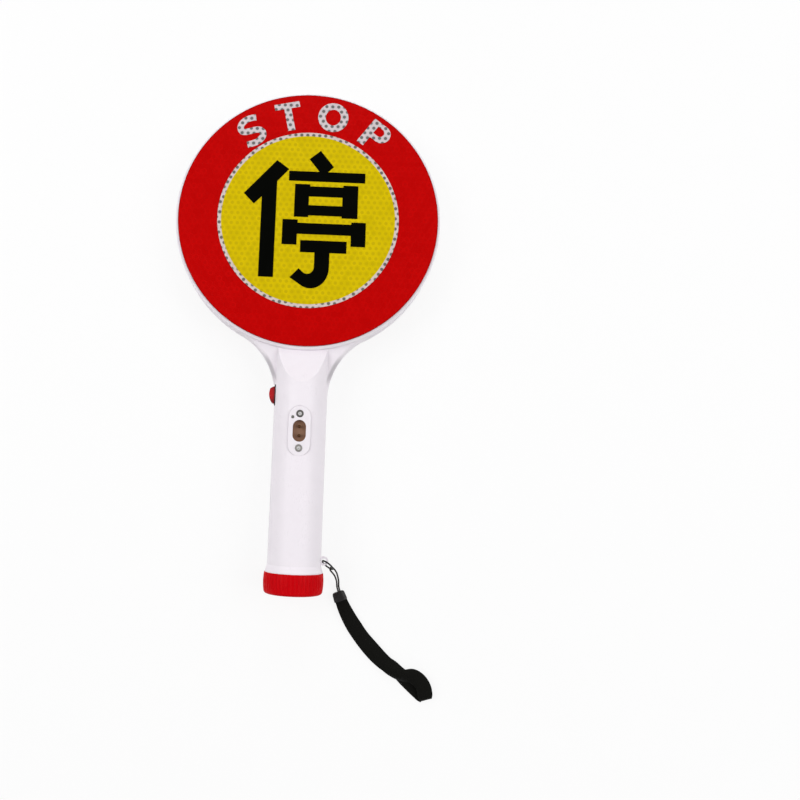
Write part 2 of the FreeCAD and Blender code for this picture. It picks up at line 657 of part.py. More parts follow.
def charge_indicator():
    """Charging lamp beside the upper plate screw."""
    y = PLATE_Y + INDICATOR_RISE
    lamp = rod_z(INDICATOR_DIAMETER / 2, PLATE_SEAT_Z - PLATE_SEAT_THICKNESS, PLATE_TOP_Z, INDICATOR_X, y)
    tip = [e for e in lamp.Edges if abs(e.BoundBox.ZMin - PLATE_TOP_Z) < 0.01]
    return lamp.makeFillet(INDICATOR_DIAMETER / 5, tip)


def switch_body_length():
    """Length of the switch body, from the rocker it holds."""
    return 2 * (ROCKER_END_RADIUS + ROCKER_CLEARANCE + SWITCH_WALL)


def switch_body_width():
    """Width of the switch body, from the rocker it holds."""
    return ROCKER_WIDTH + 2 * (ROCKER_CLEARANCE + SWITCH_WALL)


def switch_housing():
    """Black switch body with its bezel, open to the left."""
    bezel = box(-SWITCH_SEAT_X - BEZEL_THICKNESS, -SWITCH_SEAT_X, SWITCH_Y - BEZEL_LENGTH / 2,
                SWITCH_Y + BEZEL_LENGTH / 2, -BEZEL_WIDTH / 2, BEZEL_WIDTH / 2)
    corners = [e for e in bezel.Edges if abs(e.BoundBox.XLength - BEZEL_THICKNESS) < 0.01]
    bezel = bezel.makeFillet(BEZEL_CORNER_RADIUS, corners)
    length = switch_body_length() / 2
    width = switch_body_width() / 2
    body = box(-SWITCH_SEAT_X, -SWITCH_SEAT_X + SWITCH_DEPTH, SWITCH_Y - length, SWITCH_Y + length,
               -width, width)
    well = box(-FAR, -SWITCH_SEAT_X + SWITCH_DEPTH - SWITCH_FLOOR, SWITCH_Y - length + SWITCH_WALL,
               SWITCH_Y + length - SWITCH_WALL, -width + SWITCH_WALL, width - SWITCH_WALL)
    pivot = rod_z(TRUNNION_DIAMETER / 2 + TRUNNION_CLEARANCE, -width - 1, width + 1,
                  -ROCKER_PIVOT_X, SWITCH_Y)
    return bezel.fuse(body).cut(well).cut(pivot)


def switch_rocker():
    """Red rocker, crowned, with ends that are round about its trunnions; its upper end stands out."""
    rise = ROCKER_END_HEIGHT
    end = math.sqrt(ROCKER_END_RADIUS ** 2 - rise ** 2)
    foot = math.sqrt(ROCKER_END_RADIUS ** 2 - ROCKER_SKIRT ** 2)

    def spot(along, out):
        return Vector(-ROCKER_PIVOT_X - out, SWITCH_Y + along, -ROCKER_WIDTH / 2)

    edges = [
        line(spot(-foot, -ROCKER_SKIRT), spot(foot, -ROCKER_SKIRT)),
        arc(spot(foot, -ROCKER_SKIRT), spot(ROCKER_END_RADIUS, 0), spot(end, rise)),
        arc(spot(end, rise), spot(0, ROCKER_CROWN), spot(-end, rise)),
        arc(spot(-end, rise), spot(-ROCKER_END_RADIUS, 0), spot(-foot, -ROCKER_SKIRT)),
    ]
    rocker = outline_face(edges).extrude(Vector(0, 0, ROCKER_WIDTH))
    reach = switch_body_width() / 2
    trunnion = rod_z(TRUNNION_DIAMETER / 2, -reach, reach, -ROCKER_PIVOT_X, SWITCH_Y)
    rocker = rocker.fuse(trunnion)
    rocker.rotate(Vector(-ROCKER_PIVOT_X, SWITCH_Y, 0), Vector(0, 0, 1), ROCKER_TILT)
    return rocker


def switch_terminals():
    """Three flat blades on the back of the switch."""
    x = -SWITCH_SEAT_X + SWITCH_DEPTH
    half = TERMINAL_WIDTH / 2
    blades = []
    for i in (-1, 0, 1):
        y = SWITCH_Y + i * TERMINAL_SPACING
        blades.append(box(x, x + TERMINAL_LENGTH, y - TERMINAL_THICKNESS / 2, y + TERMINAL_THICKNESS / 2,
                          -half, half))
    return Part.makeCompound(blades)


def battery_cell():
    """Round rechargeable cell with its contact nub at the far end."""
    r = CELL_DIAMETER / 2
    end = CELL_END_Y - CELL_NUB_HEIGHT
    can = rod_y(r, CELL_START_Y, end)
    rims = [e for e in can.Edges if len(e.Vertexes) == 1]
    can = can.makeChamfer(CELL_EDGE, rims)
    return can.fuse(rod_y(CELL_NUB_DIAMETER / 2, end, CELL_END_Y))


def cell_plate():
    """Round contact plate on the wall at the cell's far end."""
    return rod_y(CELL_PLATE_DIAMETER / 2, CELL_END_Y, PARTITION_Y)


def cap_contact():
    """Contact disc on the cap's floor with a bowed leaf that presses on the cell."""
    top = CAP_FLOOR + CONTACT_THICKNESS
    disc = rod_y(NECK_BORE, CAP_FLOOR, top)
    bow = CELL_START_Y - SEAT_GAP - top
    ring = rod_z(bow, -CONTACT_WIDTH / 2, CONTACT_WIDTH / 2, 0.0, top)
    ring = ring.cut(rod_z(bow - CONTACT_THICKNESS, -CONTACT_WIDTH, CONTACT_WIDTH, 0.0, top))
    leaf = ring.common(box(-FAR, FAR, top - CONTACT_THICKNESS / 2, FAR, -FAR, FAR))
    return disc.fuse(leaf)


def cap_seal():
    """Flat rubber ring on the cap's floor, under the end of the neck."""
    ring = rod_y(CAP_BORE - SNUG_GAP, CAP_FLOOR, CAP_FLOOR + SEAL_THICKNESS)
    return ring.cut(rod_y(NECK_BORE + SNUG_GAP, CAP_FLOOR - 1, CAP_FLOOR + SEAL_THICKNESS + 1))


def end_cap():
    """Barrelled screw cap with grooves all round for the fingers."""
    crest = CAP_DIAMETER / 2
    rim = crest - CAP_BARREL
    corner = CAP_CORNER_RADIUS
    cut = corner * (1 - math.sqrt(0.5))
    mid_y = (CAP_HEIGHT + corner) / 2
    edges = [
        line(Vector(0, 0, 0), Vector(rim - corner, 0, 0)),
        arc(Vector(rim - corner, 0, 0), Vector(rim - cut, cut, 0), Vector(rim, corner, 0)),
        arc(Vector(rim, corner, 0), Vector(crest, mid_y, 0), Vector(rim, CAP_HEIGHT, 0)),
        line(Vector(rim, CAP_HEIGHT, 0), Vector(CAP_BORE, CAP_HEIGHT, 0)),
        line(Vector(CAP_BORE, CAP_HEIGHT, 0), Vector(CAP_BORE, CAP_FLOOR, 0)),
        line(Vector(CAP_BORE, CAP_FLOOR, 0), Vector(0, CAP_FLOOR, 0)),
        line(Vector(0, CAP_FLOOR, 0), Vector(0, 0, 0)),
    ]
    cap = outline_face(edges).revolve(Vector(0, 0, 0), Vector(0, 1, 0), 360)
    far = crest - RIB_GROOVE_DEPTH + RIB_GROOVE_RADIUS
    grooves = []
    for i in range(RIB_COUNT):
        angle = math.radians(360.0 * (i + 0.5) / RIB_COUNT)
        x, z = far * math.cos(angle), far * math.sin(angle)
        grooves.append(rod_y(RIB_GROOVE_RADIUS, -1, CAP_HEIGHT + 1, x, z))
    return cap.cut(Part.makeCompound(grooves))


def control_board():
    """Small circuit board behind the charging socket."""
    half = CONTROL_BOARD_WIDTH / 2
    return box(-half, half, CONTROL_BOARD_Y, CONTROL_BOARD_END_Y, CONTROL_BOARD_TOP_Z - BOARD_THICKNESS,
               CONTROL_BOARD_TOP_Z)


def control_parts():
    """Driver chip, capacitor and wire plug on the board."""
    z = CONTROL_BOARD_TOP_Z
    cx, cy, cz = CHIP_SIZE
    chip = box(CHIP_X - cx / 2, CHIP_X + cx / 2, PLATE_Y - cy / 2, PLATE_Y + cy / 2, z, z + cz)
    capacitor = rod_z(CAPACITOR_DIAMETER / 2, z, z + CAPACITOR_HEIGHT,
                      CAPACITOR_DIAMETER - CONTROL_BOARD_WIDTH / 2, CONTROL_BOARD_Y + CAPACITOR_DIAMETER)
    px, py, pz = PLUG_SIZE
    plug = box(CONTROL_BOARD_WIDTH / 2 - px, CONTROL_BOARD_WIDTH / 2, CONTROL_BOARD_END_Y - py,
               CONTROL_BOARD_END_Y, z, z + pz)
    return Part.makeCompound([chip, capacitor, plug])


def rounded_path(points):
    """Straight runs joined by tangent arcs, each as large as its two runs allow, and the arcs' radii."""
    spots = [Vector(*p) for p in points]
    edges = []
    radii = []
    last = spots[0]
    for before, corner, after in zip(spots, spots[1:], spots[2:]):
        back = (before - corner).normalize()
        on = (after - corner).normalize()
        half_turn = (math.pi - back.getAngle(on)) / 2
        reach = 0.45 * min((before - corner).Length, (after - corner).Length)
        radius = reach / math.tan(half_turn)
        middle = corner + (back + on).normalize() * (radius / math.cos(half_turn) - radius)
        edges += [line(last, corner + back * reach), arc(corner + back * reach, middle, corner + on * reach)]
        last = corner + on * reach
        radii.append(radius)
    edges.append(line(last, spots[-1]))
    return Part.Wire(edges), radii


def tube(points, diameter):
    """Round wire or cord along a route."""
    path, _ = rounded_path(points)
    start = Vector(*points[0])
    ring = Part.Circle(start, Vector(*points[1]) - start, diameter / 2).toShape()
    return path.makePipeShell([Part.Wire(ring)], True, False)


def plug_mid_z():
    """Height of the leads where they enter the board's plug."""
    return CONTROL_BOARD_TOP_Z + PLUG_SIZE[2] / 2


def led_lead(x):
    """One lead from the plug along the grip, under the flat and in below the edge of the lamp board."""
    z = plug_mid_z()
    edge = HEAD_Y - LED_BOARD_OUTER / 2
    low = -(BOARD_THICKNESS + WIRE_DIAMETER) / 2
    route = [(x, CONTROL_BOARD_END_Y, z), (x, FLAT_END_Y, z), (x, edge - LED_LEAD_DROP, z - WIRE_DIAMETER / 2),
             (x, edge - WIRE_DIAMETER, low), (x, edge + LEAD_LAP, low)]
    return tube(route, WIRE_DIAMETER)


def led_leads():
    """Pair of leads from the board's plug to the ring of lamps."""
    return Part.makeCompound([led_lead(LED_LEAD_X), led_lead(LED_LEAD_X + LED_LEAD_SPACING)])


def switch_leads():
    """Leads from two blades of the switch, over and down into the board's plug."""
    start = -SWITCH_SEAT_X + SWITCH_DEPTH + TERMINAL_LENGTH
    z = plug_mid_z()
    leads = []
    for y, over, x, turn in ((SWITCH_Y - TERMINAL_SPACING, 3.6, 3.1, 1.6), (SWITCH_Y, 4.8, 4.7, 2.9)):
        route = [(start, y, 0), (start + over, y, 0), (x, y - turn, z), (x, CONTROL_BOARD_END_Y, z)]
        leads.append(tube(route, WIRE_DIAMETER))
    return Part.makeCompound(leads)


def socket_leads():
    """Leads from the charging pins to the board."""
    start = PLATE_SEAT_Z - SOCKET_DEPTH - PIN_TAIL
    leads = []
    for side in (-1, 1):
        y = PLATE_Y + side * PIN_SPACING / 2
        end = y + side * SOCKET_LEAD_SPREAD
        route = [(0, y, start), (0, y, start - SOCKET_LEAD_DROP),
                 (WIRE_DIAMETER, end, CONTROL_BOARD_TOP_Z + SOCKET_LEAD_RISE),
                 (WIRE_DIAMETER, end, CONTROL_BOARD_TOP_Z)]
        leads.append(tube(route, WIRE_DIAMETER))
    return Part.makeCompound(leads)


def cell_lead():
    """Lead from the cell's contact plate to the board."""
    x = CELL_LEAD_X
    low = CONTROL_BOARD_TOP_Z + WIRE_DIAMETER / 2
    slack = WIRE_DIAMETER / 2
    return tube([(x, PARTITION_Y, 0), (x, LOW_SCREW_Y - WIRE_DIAMETER, 0),
                 (x + slack, CONTROL_BOARD_Y - slack, low + slack),
                 (x + slack, CONTROL_BOARD_Y + LEAD_LAP, low)], WIRE_DIAMETER)


def strap_ring(hole):
    """Wire ring through the ear's hole, hanging out and down."""
    ring = Part.makeTorus(RING_RADIUS, RING_WIRE_DIAMETER / 2)
    ring.translate(Vector(RING_RADIUS, 0, 0))
    ring.rotate(Vector(0, 0, 0), Vector(1, 0, 0), 90.0 - RING_TWIST_DEG)
    ring.rotate(Vector(0, 0, 0), Vector(0, 1, 0), RING_DROP_DEG)
    ring.rotate(Vector(0, 0, 0), Vector(0, 0, 1), RING_SWING_DEG)
    ring.translate(hole)
    return ring


def strap_cord():
    """Thin cord from the strap's ferrule round the ring and back."""
    cord = tube(CORD_ROUTE, CORD_DIAMETER)
    path, radii = rounded_path(CORD_ROUTE)
    section = math.pi * CORD_DIAMETER ** 2 / 4
    print("cord %.1f mm, radii %s" % (path.Length, " ".join("%.1f" % r for r in radii)))
    print("cord volume %.2f, section by length %.2f mm3" % (cord.Volume, section * path.Length))
    return cord


def strap_ferrule():
    """Moulded sleeve that joins the cord to the webbing."""
    start = Vector(*FERRULE_START, 0)
    end = Vector(*FERRULE_END, 0)
    along = (end - start).normalize()
    side = Vector(-along.y, along.x, 0)
    a = side * (FERRULE_START_WIDTH / 2)
    b = side * (FERRULE_END_WIDTH / 2)
    outline = Part.Face(Part.makePolygon([start + a, end + b, end - b, start - a, start + a]))
    sleeve = outline.extrude(Vector(0, 0, FERRULE_THICKNESS))
    long_edges = [e for e in sleeve.Edges
                  if abs((e.Vertexes[1].Point - e.Vertexes[0].Point).normalize().dot(along)) > 0.9]
    return sleeve.makeFillet(FERRULE_EDGE_RADIUS, long_edges)


def beside(path, offset):
    """Edges that run alongside a flat path, offset to its right."""
    edges = []
    for edge in path.Edges:
        low, high = edge.ParameterRange
        spots = [edge.valueAt(u) + edge.tangentAt(u).cross(Vector(0, 0, 1)) * offset
                 for u in (low, (low + high) / 2, high)]
        edges.append(line(spots[0], spots[2]) if isinstance(edge.Curve, Part.Line) else arc(*spots))
    return edges


def band(straight, points, z):
    """Flat length of webbing, straight out of the ferrule and then along a route, with its underside at z."""
    start = Vector(*FERRULE_END, z)
    along = (Vector(*FERRULE_END, z) - Vector(*FERRULE_START, z)).normalize()
    path, _ = rounded_path([start, start + along * straight] + [(x, y, z) for x, y in points])
    right = beside(path, WEBBING_WIDTH / 2)
    left = beside(path, -WEBBING_WIDTH / 2)
    ends = [line(left[0].firstVertex().Point, right[0].firstVertex().Point),
            line(left[-1].lastVertex().Point, right[-1].lastVertex().Point)]
    outline = Part.Wire(Part.__sortEdges__(right + left + ends))
    return Part.Face(outline).extrude(Vector(0, 0, WEBBING_THICKNESS))


def strap_webbing():
    """Wrist loop of flat webbing: its two layers, one lying on the other."""
    lower = band(LOWER_BAND_START, LOWER_BAND, 0.0)
    upper = band(UPPER_BAND_START, UPPER_BAND, WEBBING_THICKNESS + SNUG_GAP)
    return Part.makeCompound([lower, upper])


def resting_place(pieces):
    """Placement that lays the paddle on its back on a level surface.

    It touches the surface where the grip's rear flat begins and at the far edge of the rear face board.
    """
    run = HEAD_Y + FACE_RADIUS - FLAT_START_Y
    lean = math.atan2(GRIP_RADIUS - FACE_TOP_Z, run)
    turn = Rotation(Vector(1, 0, 0), -math.degrees(lean))
    laid = Part.makeCompound(pieces)
    laid.Placement = Placement(Vector(0, 0, 0), turn)
    reach = laid.optimalBoundingBox(False, False)
    shift = Vector(-(reach.XMin + reach.XMax) / 2, -(reach.YMin + reach.YMax) / 2, -reach.ZMin)
    print("lean %.4f deg, shift %.4f %.4f %.4f mm" % (math.degrees(lean), shift.x, shift.y, shift.z))
    return Placement(shift, turn)


def paddle_pieces():
    """Every rigid piece of the paddle by name, in the paddle's own frame."""
    return {
        "front_shell": front_shell(), "rear_shell": rear_shell(), "shell_screws": shell_screws(),
        "front_face_board": face_board(), "front_white_film": white_film(),
        "front_yellow_film": yellow_film(),
        "rear_face_board": mirrored(face_board()), "rear_white_film": mirrored(white_film()),
        "rear_yellow_film": mirrored(yellow_film()),
        "led_board": led_board(), "leds": leds(),
        "charge_plate": charge_plate(), "charge_plate_screws": charge_plate_screws(),
        "charge_socket": charge_socket(), "charge_pins": charge_pins(),
        "charge_indicator": charge_indicator(),
        "switch_housing": switch_housing(), "switch_rocker": switch_rocker(),
        "switch_terminals": switch_terminals(),
        "battery_cell": battery_cell(), "cell_plate": cell_plate(),
        "return_strip": strip_shape(0.0), "control_board": control_board(),
        "control_parts": control_parts(),
        "led_leads": led_leads(), "switch_leads": switch_leads(), "socket_leads": socket_leads(),
        "cell_lead": cell_lead(),
        "end_cap": end_cap(), "cap_seal": cap_seal(), "cap_contact": cap_contact(),
    }


def strap_pieces(rest):
    """The strap's pieces as they lie beside the grip, in the frame of the surface."""
    hole = rest.multVec(Vector(EAR_X, EAR_Y, -EAR_THICKNESS / 2))
    foot = rest.multVec(Vector(0, 0, 0))
    pieces = {"strap_cord": strap_cord(), "strap_ferrule": strap_ferrule(), "strap_webbing": strap_webbing()}
    for shape in pieces.values():
        shape.translate(Vector(foot.x, foot.y, 0))
    pieces["strap_ring"] = strap_ring(hole)
    return pieces


def main():
    os.makedirs("parts", exist_ok=True)
    pieces = paddle_pieces()
    rest = resting_place(list(pieces.values()))
    for shape in pieces.values():
        shape.Placement = rest.multiply(shape.Placement)
    pieces.update(strap_pieces(rest))
    for name, shape in pieces.items():
        shape.exportStep("parts/%s.step" % name)


main()
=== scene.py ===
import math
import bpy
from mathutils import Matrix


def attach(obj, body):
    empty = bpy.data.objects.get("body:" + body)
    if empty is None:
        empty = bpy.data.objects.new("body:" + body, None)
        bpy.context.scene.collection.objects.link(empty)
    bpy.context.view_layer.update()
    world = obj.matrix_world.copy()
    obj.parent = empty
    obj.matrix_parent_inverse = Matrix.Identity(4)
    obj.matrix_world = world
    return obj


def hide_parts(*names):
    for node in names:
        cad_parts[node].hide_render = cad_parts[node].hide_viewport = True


bl_info = {
    "name": "Stop Sign Paddle",
    "version": (1, 0, 0),
    "blender": (4, 5, 0),
    "location": "View3D > Sidebar > Stop Paddle",
    "description": "Finishes a hand-held stop paddle: sheeting, letters, grip, cap, switch and wrist strap",
    "category": "Object",
}

import bmesh
import bpy
from bpy.props import FloatProperty, FloatVectorProperty, IntProperty, PointerProperty
from mathutils import Matrix, Vector

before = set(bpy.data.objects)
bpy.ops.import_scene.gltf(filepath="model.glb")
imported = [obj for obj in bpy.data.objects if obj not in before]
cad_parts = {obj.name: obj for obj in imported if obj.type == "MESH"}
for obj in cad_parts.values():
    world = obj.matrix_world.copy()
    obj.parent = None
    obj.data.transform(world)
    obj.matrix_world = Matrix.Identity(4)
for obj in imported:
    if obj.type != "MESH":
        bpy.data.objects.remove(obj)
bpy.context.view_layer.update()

# The paddle lies on its back. Sizes below are in millimetres in its own frame: X right, Y from the cap's
# end to the top of the head, Z out of the front face, with the halves meeting at Z = 0.
MM = 0.001
LEAN = math.atan2(7.0, 201.0)
SHIFT_Y = -169.7367
SHIFT_Z = 22.3576
LAY = (Matrix.Translation((0.0, SHIFT_Y * MM, SHIFT_Z * MM)) @ Matrix.Rotation(-LEAN, 4, "X")
       @ Matrix.Scale(MM, 4))
FRONT = Matrix.Identity(4)
REAR = Matrix.Rotation(math.pi, 4, "Y")
SIDES = (("front", FRONT), ("rear", REAR))
FACE_AXIS = tuple((LAY.to_3x3() @ Vector((0.0, 0.0, 1.0))).normalized())

HEAD_Y = 250.0
HEAD_RADIUS = 90.0
BOARD_RADIUS = 88.0
FACE_TOP = 10.6
FILM_TOP = 10.9
GRIP_RADIUS = 17.6
FLARE_RADIUS = 50.0
FLARE_X = GRIP_RADIUS + FLARE_RADIUS
FLARE_DROP = math.sqrt((HEAD_RADIUS + FLARE_RADIUS) ** 2 - FLARE_X ** 2)
# Place of the painted shade along the wings' edges, where they leave the grip
WING_SHADE_Y = 148.0
WING_SHADE_INSET = 1.3
COLLAR_TOP = 18.6
COLLAR_EDGE = 24.8
SWITCH_Y = 129.5
BEZEL_REACH = 8.2
# Spot on the rocker's outer face where its painted highlight is brightest
ROCKER_HIGHLIGHT_SPOT = (-GRIP_RADIUS - 2.5, SWITCH_Y + 0.8, 3.0)
PLATE_Y = 105.1
PLATE_TOP = 17.4
PLATE_HALF = 7.4
PLATE_RISE = 9.0
BEAD_SECTION = ((-0.05, 1.2), (-0.05, 0.25), (0.18, 0.25), (0.18, 1.2))
SEAM_SECTION = ((-0.15, -0.09), (0.04, -0.09), (0.04, 0.09), (-0.15, 0.09))
NECK_RADIUS = 15.5
CAP_BORE = 16.1
THREAD_START = 12.4
THREAD_SINK = 0.05
THREAD_ROOT = 1.1
THREAD_CREST = 0.45
THREAD_STEPS = 64
THREAD_SWELL = 6.0
THREAD_LEAST = 0.02
SCREW_SIZES = ("Head Radius", "Head Height", "Shank Radius", "Shank Length", "Recess Width")
SCREW_DOME = 0.22
RECESS_ARM = 0.24
PLATE_SCREW = (2.4, 1.0, 1.0, 4.2, 1.9)
PLATE_SCREW_RISE = 11.2
SHELL_SCREW = (2.5, 1.8, 1.2, 8.0, 2.1)
HEAD_SCREW_RADIUS = 82.0
HEAD_SCREW_TOP = 8.2
GRIP_SCREW_TOPS = ((86.0, GRIP_RADIUS - 3.2), (143.5, GRIP_RADIUS + 6.5 / 23.0 * (6.6 - GRIP_RADIUS) - 3.2))
# Width and fade of the painted shade in a rim just inside the red board's edge
EDGE_SHADE_WIDTH = 0.5
EDGE_SHADE_FADE = 0.3
CELL_SHIFT = (0.00046, -0.0007, 0.0)

CHARACTER_STROKES = (
    ((-22.6, 40.0), (-14.2, 34.0), (-22.0, 25.2), (-22.0, -41.9), (-32.0, -41.9), (-32.0, 14.1),
     (-37.2, 8.7), (-44.2, 15.9)),
    ((6.9, 47.8), (-0.5, 41.6), (6.6, 32.8), (-14.1, 32.8), (-14.1, 25.9), (37.8, 25.9), (37.8, 32.8),
     (12.3, 32.8), (16.2, 36.6)),
    ((-9.7, 23.7), (0.6, 23.7), (0.6, 22.3), (23.2, 22.3), (23.2, 23.7), (33.3, 23.7), (33.3, 0.6),
     (22.6, 0.6), (22.6, 1.9), (0.0, 1.9), (0.0, 0.6), (-9.7, 0.6)),
    ((-17.2, -1.4), (-6.9, -1.4), (-6.9, -3.6), (29.4, -3.6), (29.4, -2.0), (39.2, -2.0), (39.2, -18.9),
     (29.3, -18.9), (29.3, -11.3), (-7.2, -11.3), (-7.2, -18.9), (-17.2, -18.9)),
)
CHARACTER_HOLE = ((0.0, 15.2), (22.8, 15.2), (22.8, 9.0), (0.0, 9.0))
HOOK_TOP = ((-4.6, -15.6), (26.6, -15.6), (26.6, -23.9), (15.3, -23.9))
HOOK_LEFT = ((5.2, -23.9), (-4.6, -23.9))
HOOK_TIP = ((-10.9, -41.6), (-5.0, -35.2))
HOOK_OUTER = ((3.0, -34.0), (12.3, 14.7), 0.0, -118.0, 20)
HOOK_INNER = ((0.6, -34.0), (4.6, 4.8), -120.0, 0.0, 14)
LETTERS = (
    ("S", -34.3, 73.1, 1.06), ("T", -12.4, 73.4, 1.0), ("O", 11.35, 73.75, 1.04), ("P", 36.5, 74.1, 1.02),
)
S_LINE = (
    (0.368, 0.316), (0.225, 0.381), (0.020, 0.415), (-0.195, 0.355), (-0.285, 0.210), (-0.249, 0.084),
    (0.004, 0.003), (0.225, -0.066), (0.308, -0.213), (0.230, -0.354), (0.011, -0.417), (-0.180, -0.391),
    (-0.363, -0.330),
)

# Wrist strap: X and Y from the foot of the cap, Z above the surface, in millimetres
FOOT = Vector((0.0, SHIFT_Y, 0.0))
CORD_ROUTE = (
    (31.8, -0.33, 2.3), (30.75, 2.35, 2.3), (30.6, 6.2, 5.8), (29.8, 9.9, 10.2), (28.2, 14.4, 14.9),
    (24.9, 17.8, 17.1), (23.4, 15.8, 17.9), (26.8, 12.4, 15.7), (28.4, 9.0, 10.6), (29.3, 5.7, 6.0),
    (29.64, 1.89, 2.3), (30.69, -0.76, 2.3),
)
CORD_SIDES = 12
FERRULE_START = Vector((30.4, -0.8, 2.3))
FERRULE_END = Vector((32.7, -6.7, 2.3))
FERRULE_WIDTH = 8.2
FERRULE_SPREAD = 1.0
FERRULE_HEIGHT = 4.2
FERRULE_STATIONS = 36
FERRULE_SIDES = 28
FERRULE_ROUNDING = 0.62
SHOULDER_SHARE = 0.24
SHOULDER_START = 0.70
LIP_FROM = 0.94
LIP_EASE = 0.05
RIBS_FROM = 0.30
RIBS_TO = 0.90
RIB_HEIGHT = 0.10
LOWER_RUN = (
    (32.7, -6.3, 1.6), (34.0, -9.5, 1.2), (36.0, -13.9, 0.9), (39.6, -20.4, 0.82), (46.6, -30.2, 0.82),
    (54.8, -39.8, 0.82), (63.0, -46.9, 0.82), (68.5, -49.4, 0.82), (73.0, -52.6, 0.9), (78.0, -56.9, 0.82),
    (84.0, -62.3, 0.82), (88.8, -66.4, 0.82),
)
LOOP_END = ((91.0, -68.4, 0.8), (91.5, -69.1, 2.2), (91.4, -68.0, 3.6))
UPPER_RUN = (
    (91.0, -64.6, 4.0), (90.0, -60.8, 4.3), (86.9, -56.5, 4.4), (82.0, -53.5, 4.5), (77.0, -53.9, 4.3),
    (72.8, -53.4, 3.4), (66.5, -48.8, 2.7), (60.8, -43.9, 2.6), (54.0, -36.8, 2.6), (47.2, -30.0, 2.5),
    (40.2, -20.0, 2.4), (36.4, -13.5, 2.5), (34.2, -9.6, 2.7), (32.7, -6.3, 2.8),
)
BAND_SHARES = (0.97, 0.90, 0.68, 0.45, 0.22, 0.0, -0.22, -0.45, -0.68, -0.90, -0.97)
BAND_SECTION = ((1.0, 0.0),) + tuple((u, 0.71 if abs(u) > 0.95 else 1.0) for u in BAND_SHARES)
BAND_SECTION += tuple((-u, -v) for u, v in BAND_SECTION)
STEEP_BELOW = 0.35
EASE_OVER = 5
TWIST_SPOT = FOOT.xy + Vector((75.0, -53.4))
TWIST_DEG = -25.0
TWIST_REACH = 7.0
PINCH = 0.18
PINCH_REACH = 0.020
FOLD_EASE = 0.16
FOLD_REACH = 0.0022
BAND_BEND = 0.25
WAIST_AT = 0.0625
WAIST_BEND = 0.8
WAIST_REACH = 0.006

CAMERA_SPOT = (0.00273, -0.08624, 0.53482)
CAMERA_TURN_DEG = (4.8325, -0.2147, 2.3140)
CAMERA_SHIFT = 0.11875
FLOOR_GLOW = 0.86
LAMPS = (
    ("key", (-0.95, 0.15, 1.00), 0.9), ("fill", (0.95, 0.05, 1.00), 1.1),
    ("head", (0.00, 1.25, 0.80), 0.9), ("low", (0.10, -1.20, 0.90), 0.9),
)

FINISHES = {}


def linear(red, green, blue):
    """Colour for a shader from the 0 to 255 levels that it shows."""
    levels = [v / 255.0 for v in (red, green, blue)]
    return tuple(v / 12.92 if v <= 0.04045 else ((v + 0.055) / 1.055) ** 2.4 for v in levels) + (1.0,)


def scaled(colour, factor):
    """A colour made lighter or darker."""
    return tuple(min(1.0, v * factor) for v in colour[:3]) + (1.0,)


def colour_property(name, description, levels):
    """Colour property with the given shown levels as its default."""
    return FloatVectorProperty(name=name, description=description, subtype="COLOR", size=4, min=0.0, max=1.0,
                               default=linear(*levels))


def length_property(name, description, default):
    """Length property in metres."""
    return FloatProperty(name=name, description=description, unit="LENGTH", default=default, min=0.0,
                         precision=5)


def power_property(name, description, default):
    """Power of a lamp in watts."""
    return FloatProperty(name=name, description=description, unit="POWER", default=default, min=0.0)


class PADDLE_PG_colours(bpy.types.PropertyGroup):
    """Colours of the paddle's finishes."""

    board_red: colour_property("Board red", "Red sheeting of the round boards", (188, 0, 0))
    disc_yellow: colour_property("Disc yellow", "Yellow sheeting of the middle disc", (208, 183, 2))
    ring_white: colour_property("Ring white", "White sheeting of the ring", (207, 192, 189))
    letter_white: colour_property("Letter white", "White sheeting of the letters", (205, 194, 197))
    stroke_black: colour_property("Stroke black", "Black film of the character's strokes", (3, 4, 2))
    shell_white: colour_property("Shell white", "Moulded shells of the head and grip", (242, 236, 242))
    cap_red: colour_property("Cap red", "Moulded screw cap", (201, 0, 10))
    rocker_red: colour_property("Rocker red", "Rocker of the switch", (168, 4, 14))
    switch_black: colour_property("Switch black", "Body and bezel of the switch", (26, 25, 27))
    socket_brown: colour_property("Socket brown", "Insert of the charging socket", (150, 112, 88))
    strap_black: colour_property("Strap black", "Webbing of the wrist strap", (10, 10, 7))


class PADDLE_PG_sizes(bpy.types.PropertyGroup):
    """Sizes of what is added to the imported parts."""

    cell_pitch: length_property("Cell pitch", "Distance between the sheeting's cells", 0.0041)
    dot_radius: length_property("Dot radius", "Radius of the dark dot in each cell", 0.0009)
    letter_height: length_property("Letter height", "Height of the letters", 0.0200)
    letter_stroke: length_property("Letter stroke", "Width of the letters' strokes", 0.0044)
    film_thickness: length_property("Film thickness", "Thickness of the letters and strokes", 0.0002)
    thread_pitch: length_property("Thread pitch", "Pitch of the cap's thread", 0.0025)
    thread_height: length_property("Thread height", "Height of the thread's ridge", 0.00045)
    thread_turns: FloatProperty(name="Thread turns", description="Turns of the thread on the neck",
                                default=2.75, min=1.0, max=6.0)
    cord_diameter: length_property("Cord diameter", "Thickness of the strap's cord", 0.0011)
    webbing_width: length_property("Webbing width", "Width of the wrist loop", 0.0101)
    webbing_thickness: length_property("Webbing thickness", "Thickness of the wrist loop", 0.0011)
    weave_pitch: length_property("Weave pitch", "Distance between the webbing's ribs", 0.00075)
    ferrule_ribs: IntProperty(name="Ferrule ribs", description="Ribs round the strap's sleeve", default=3,
                              min=0, max=8)


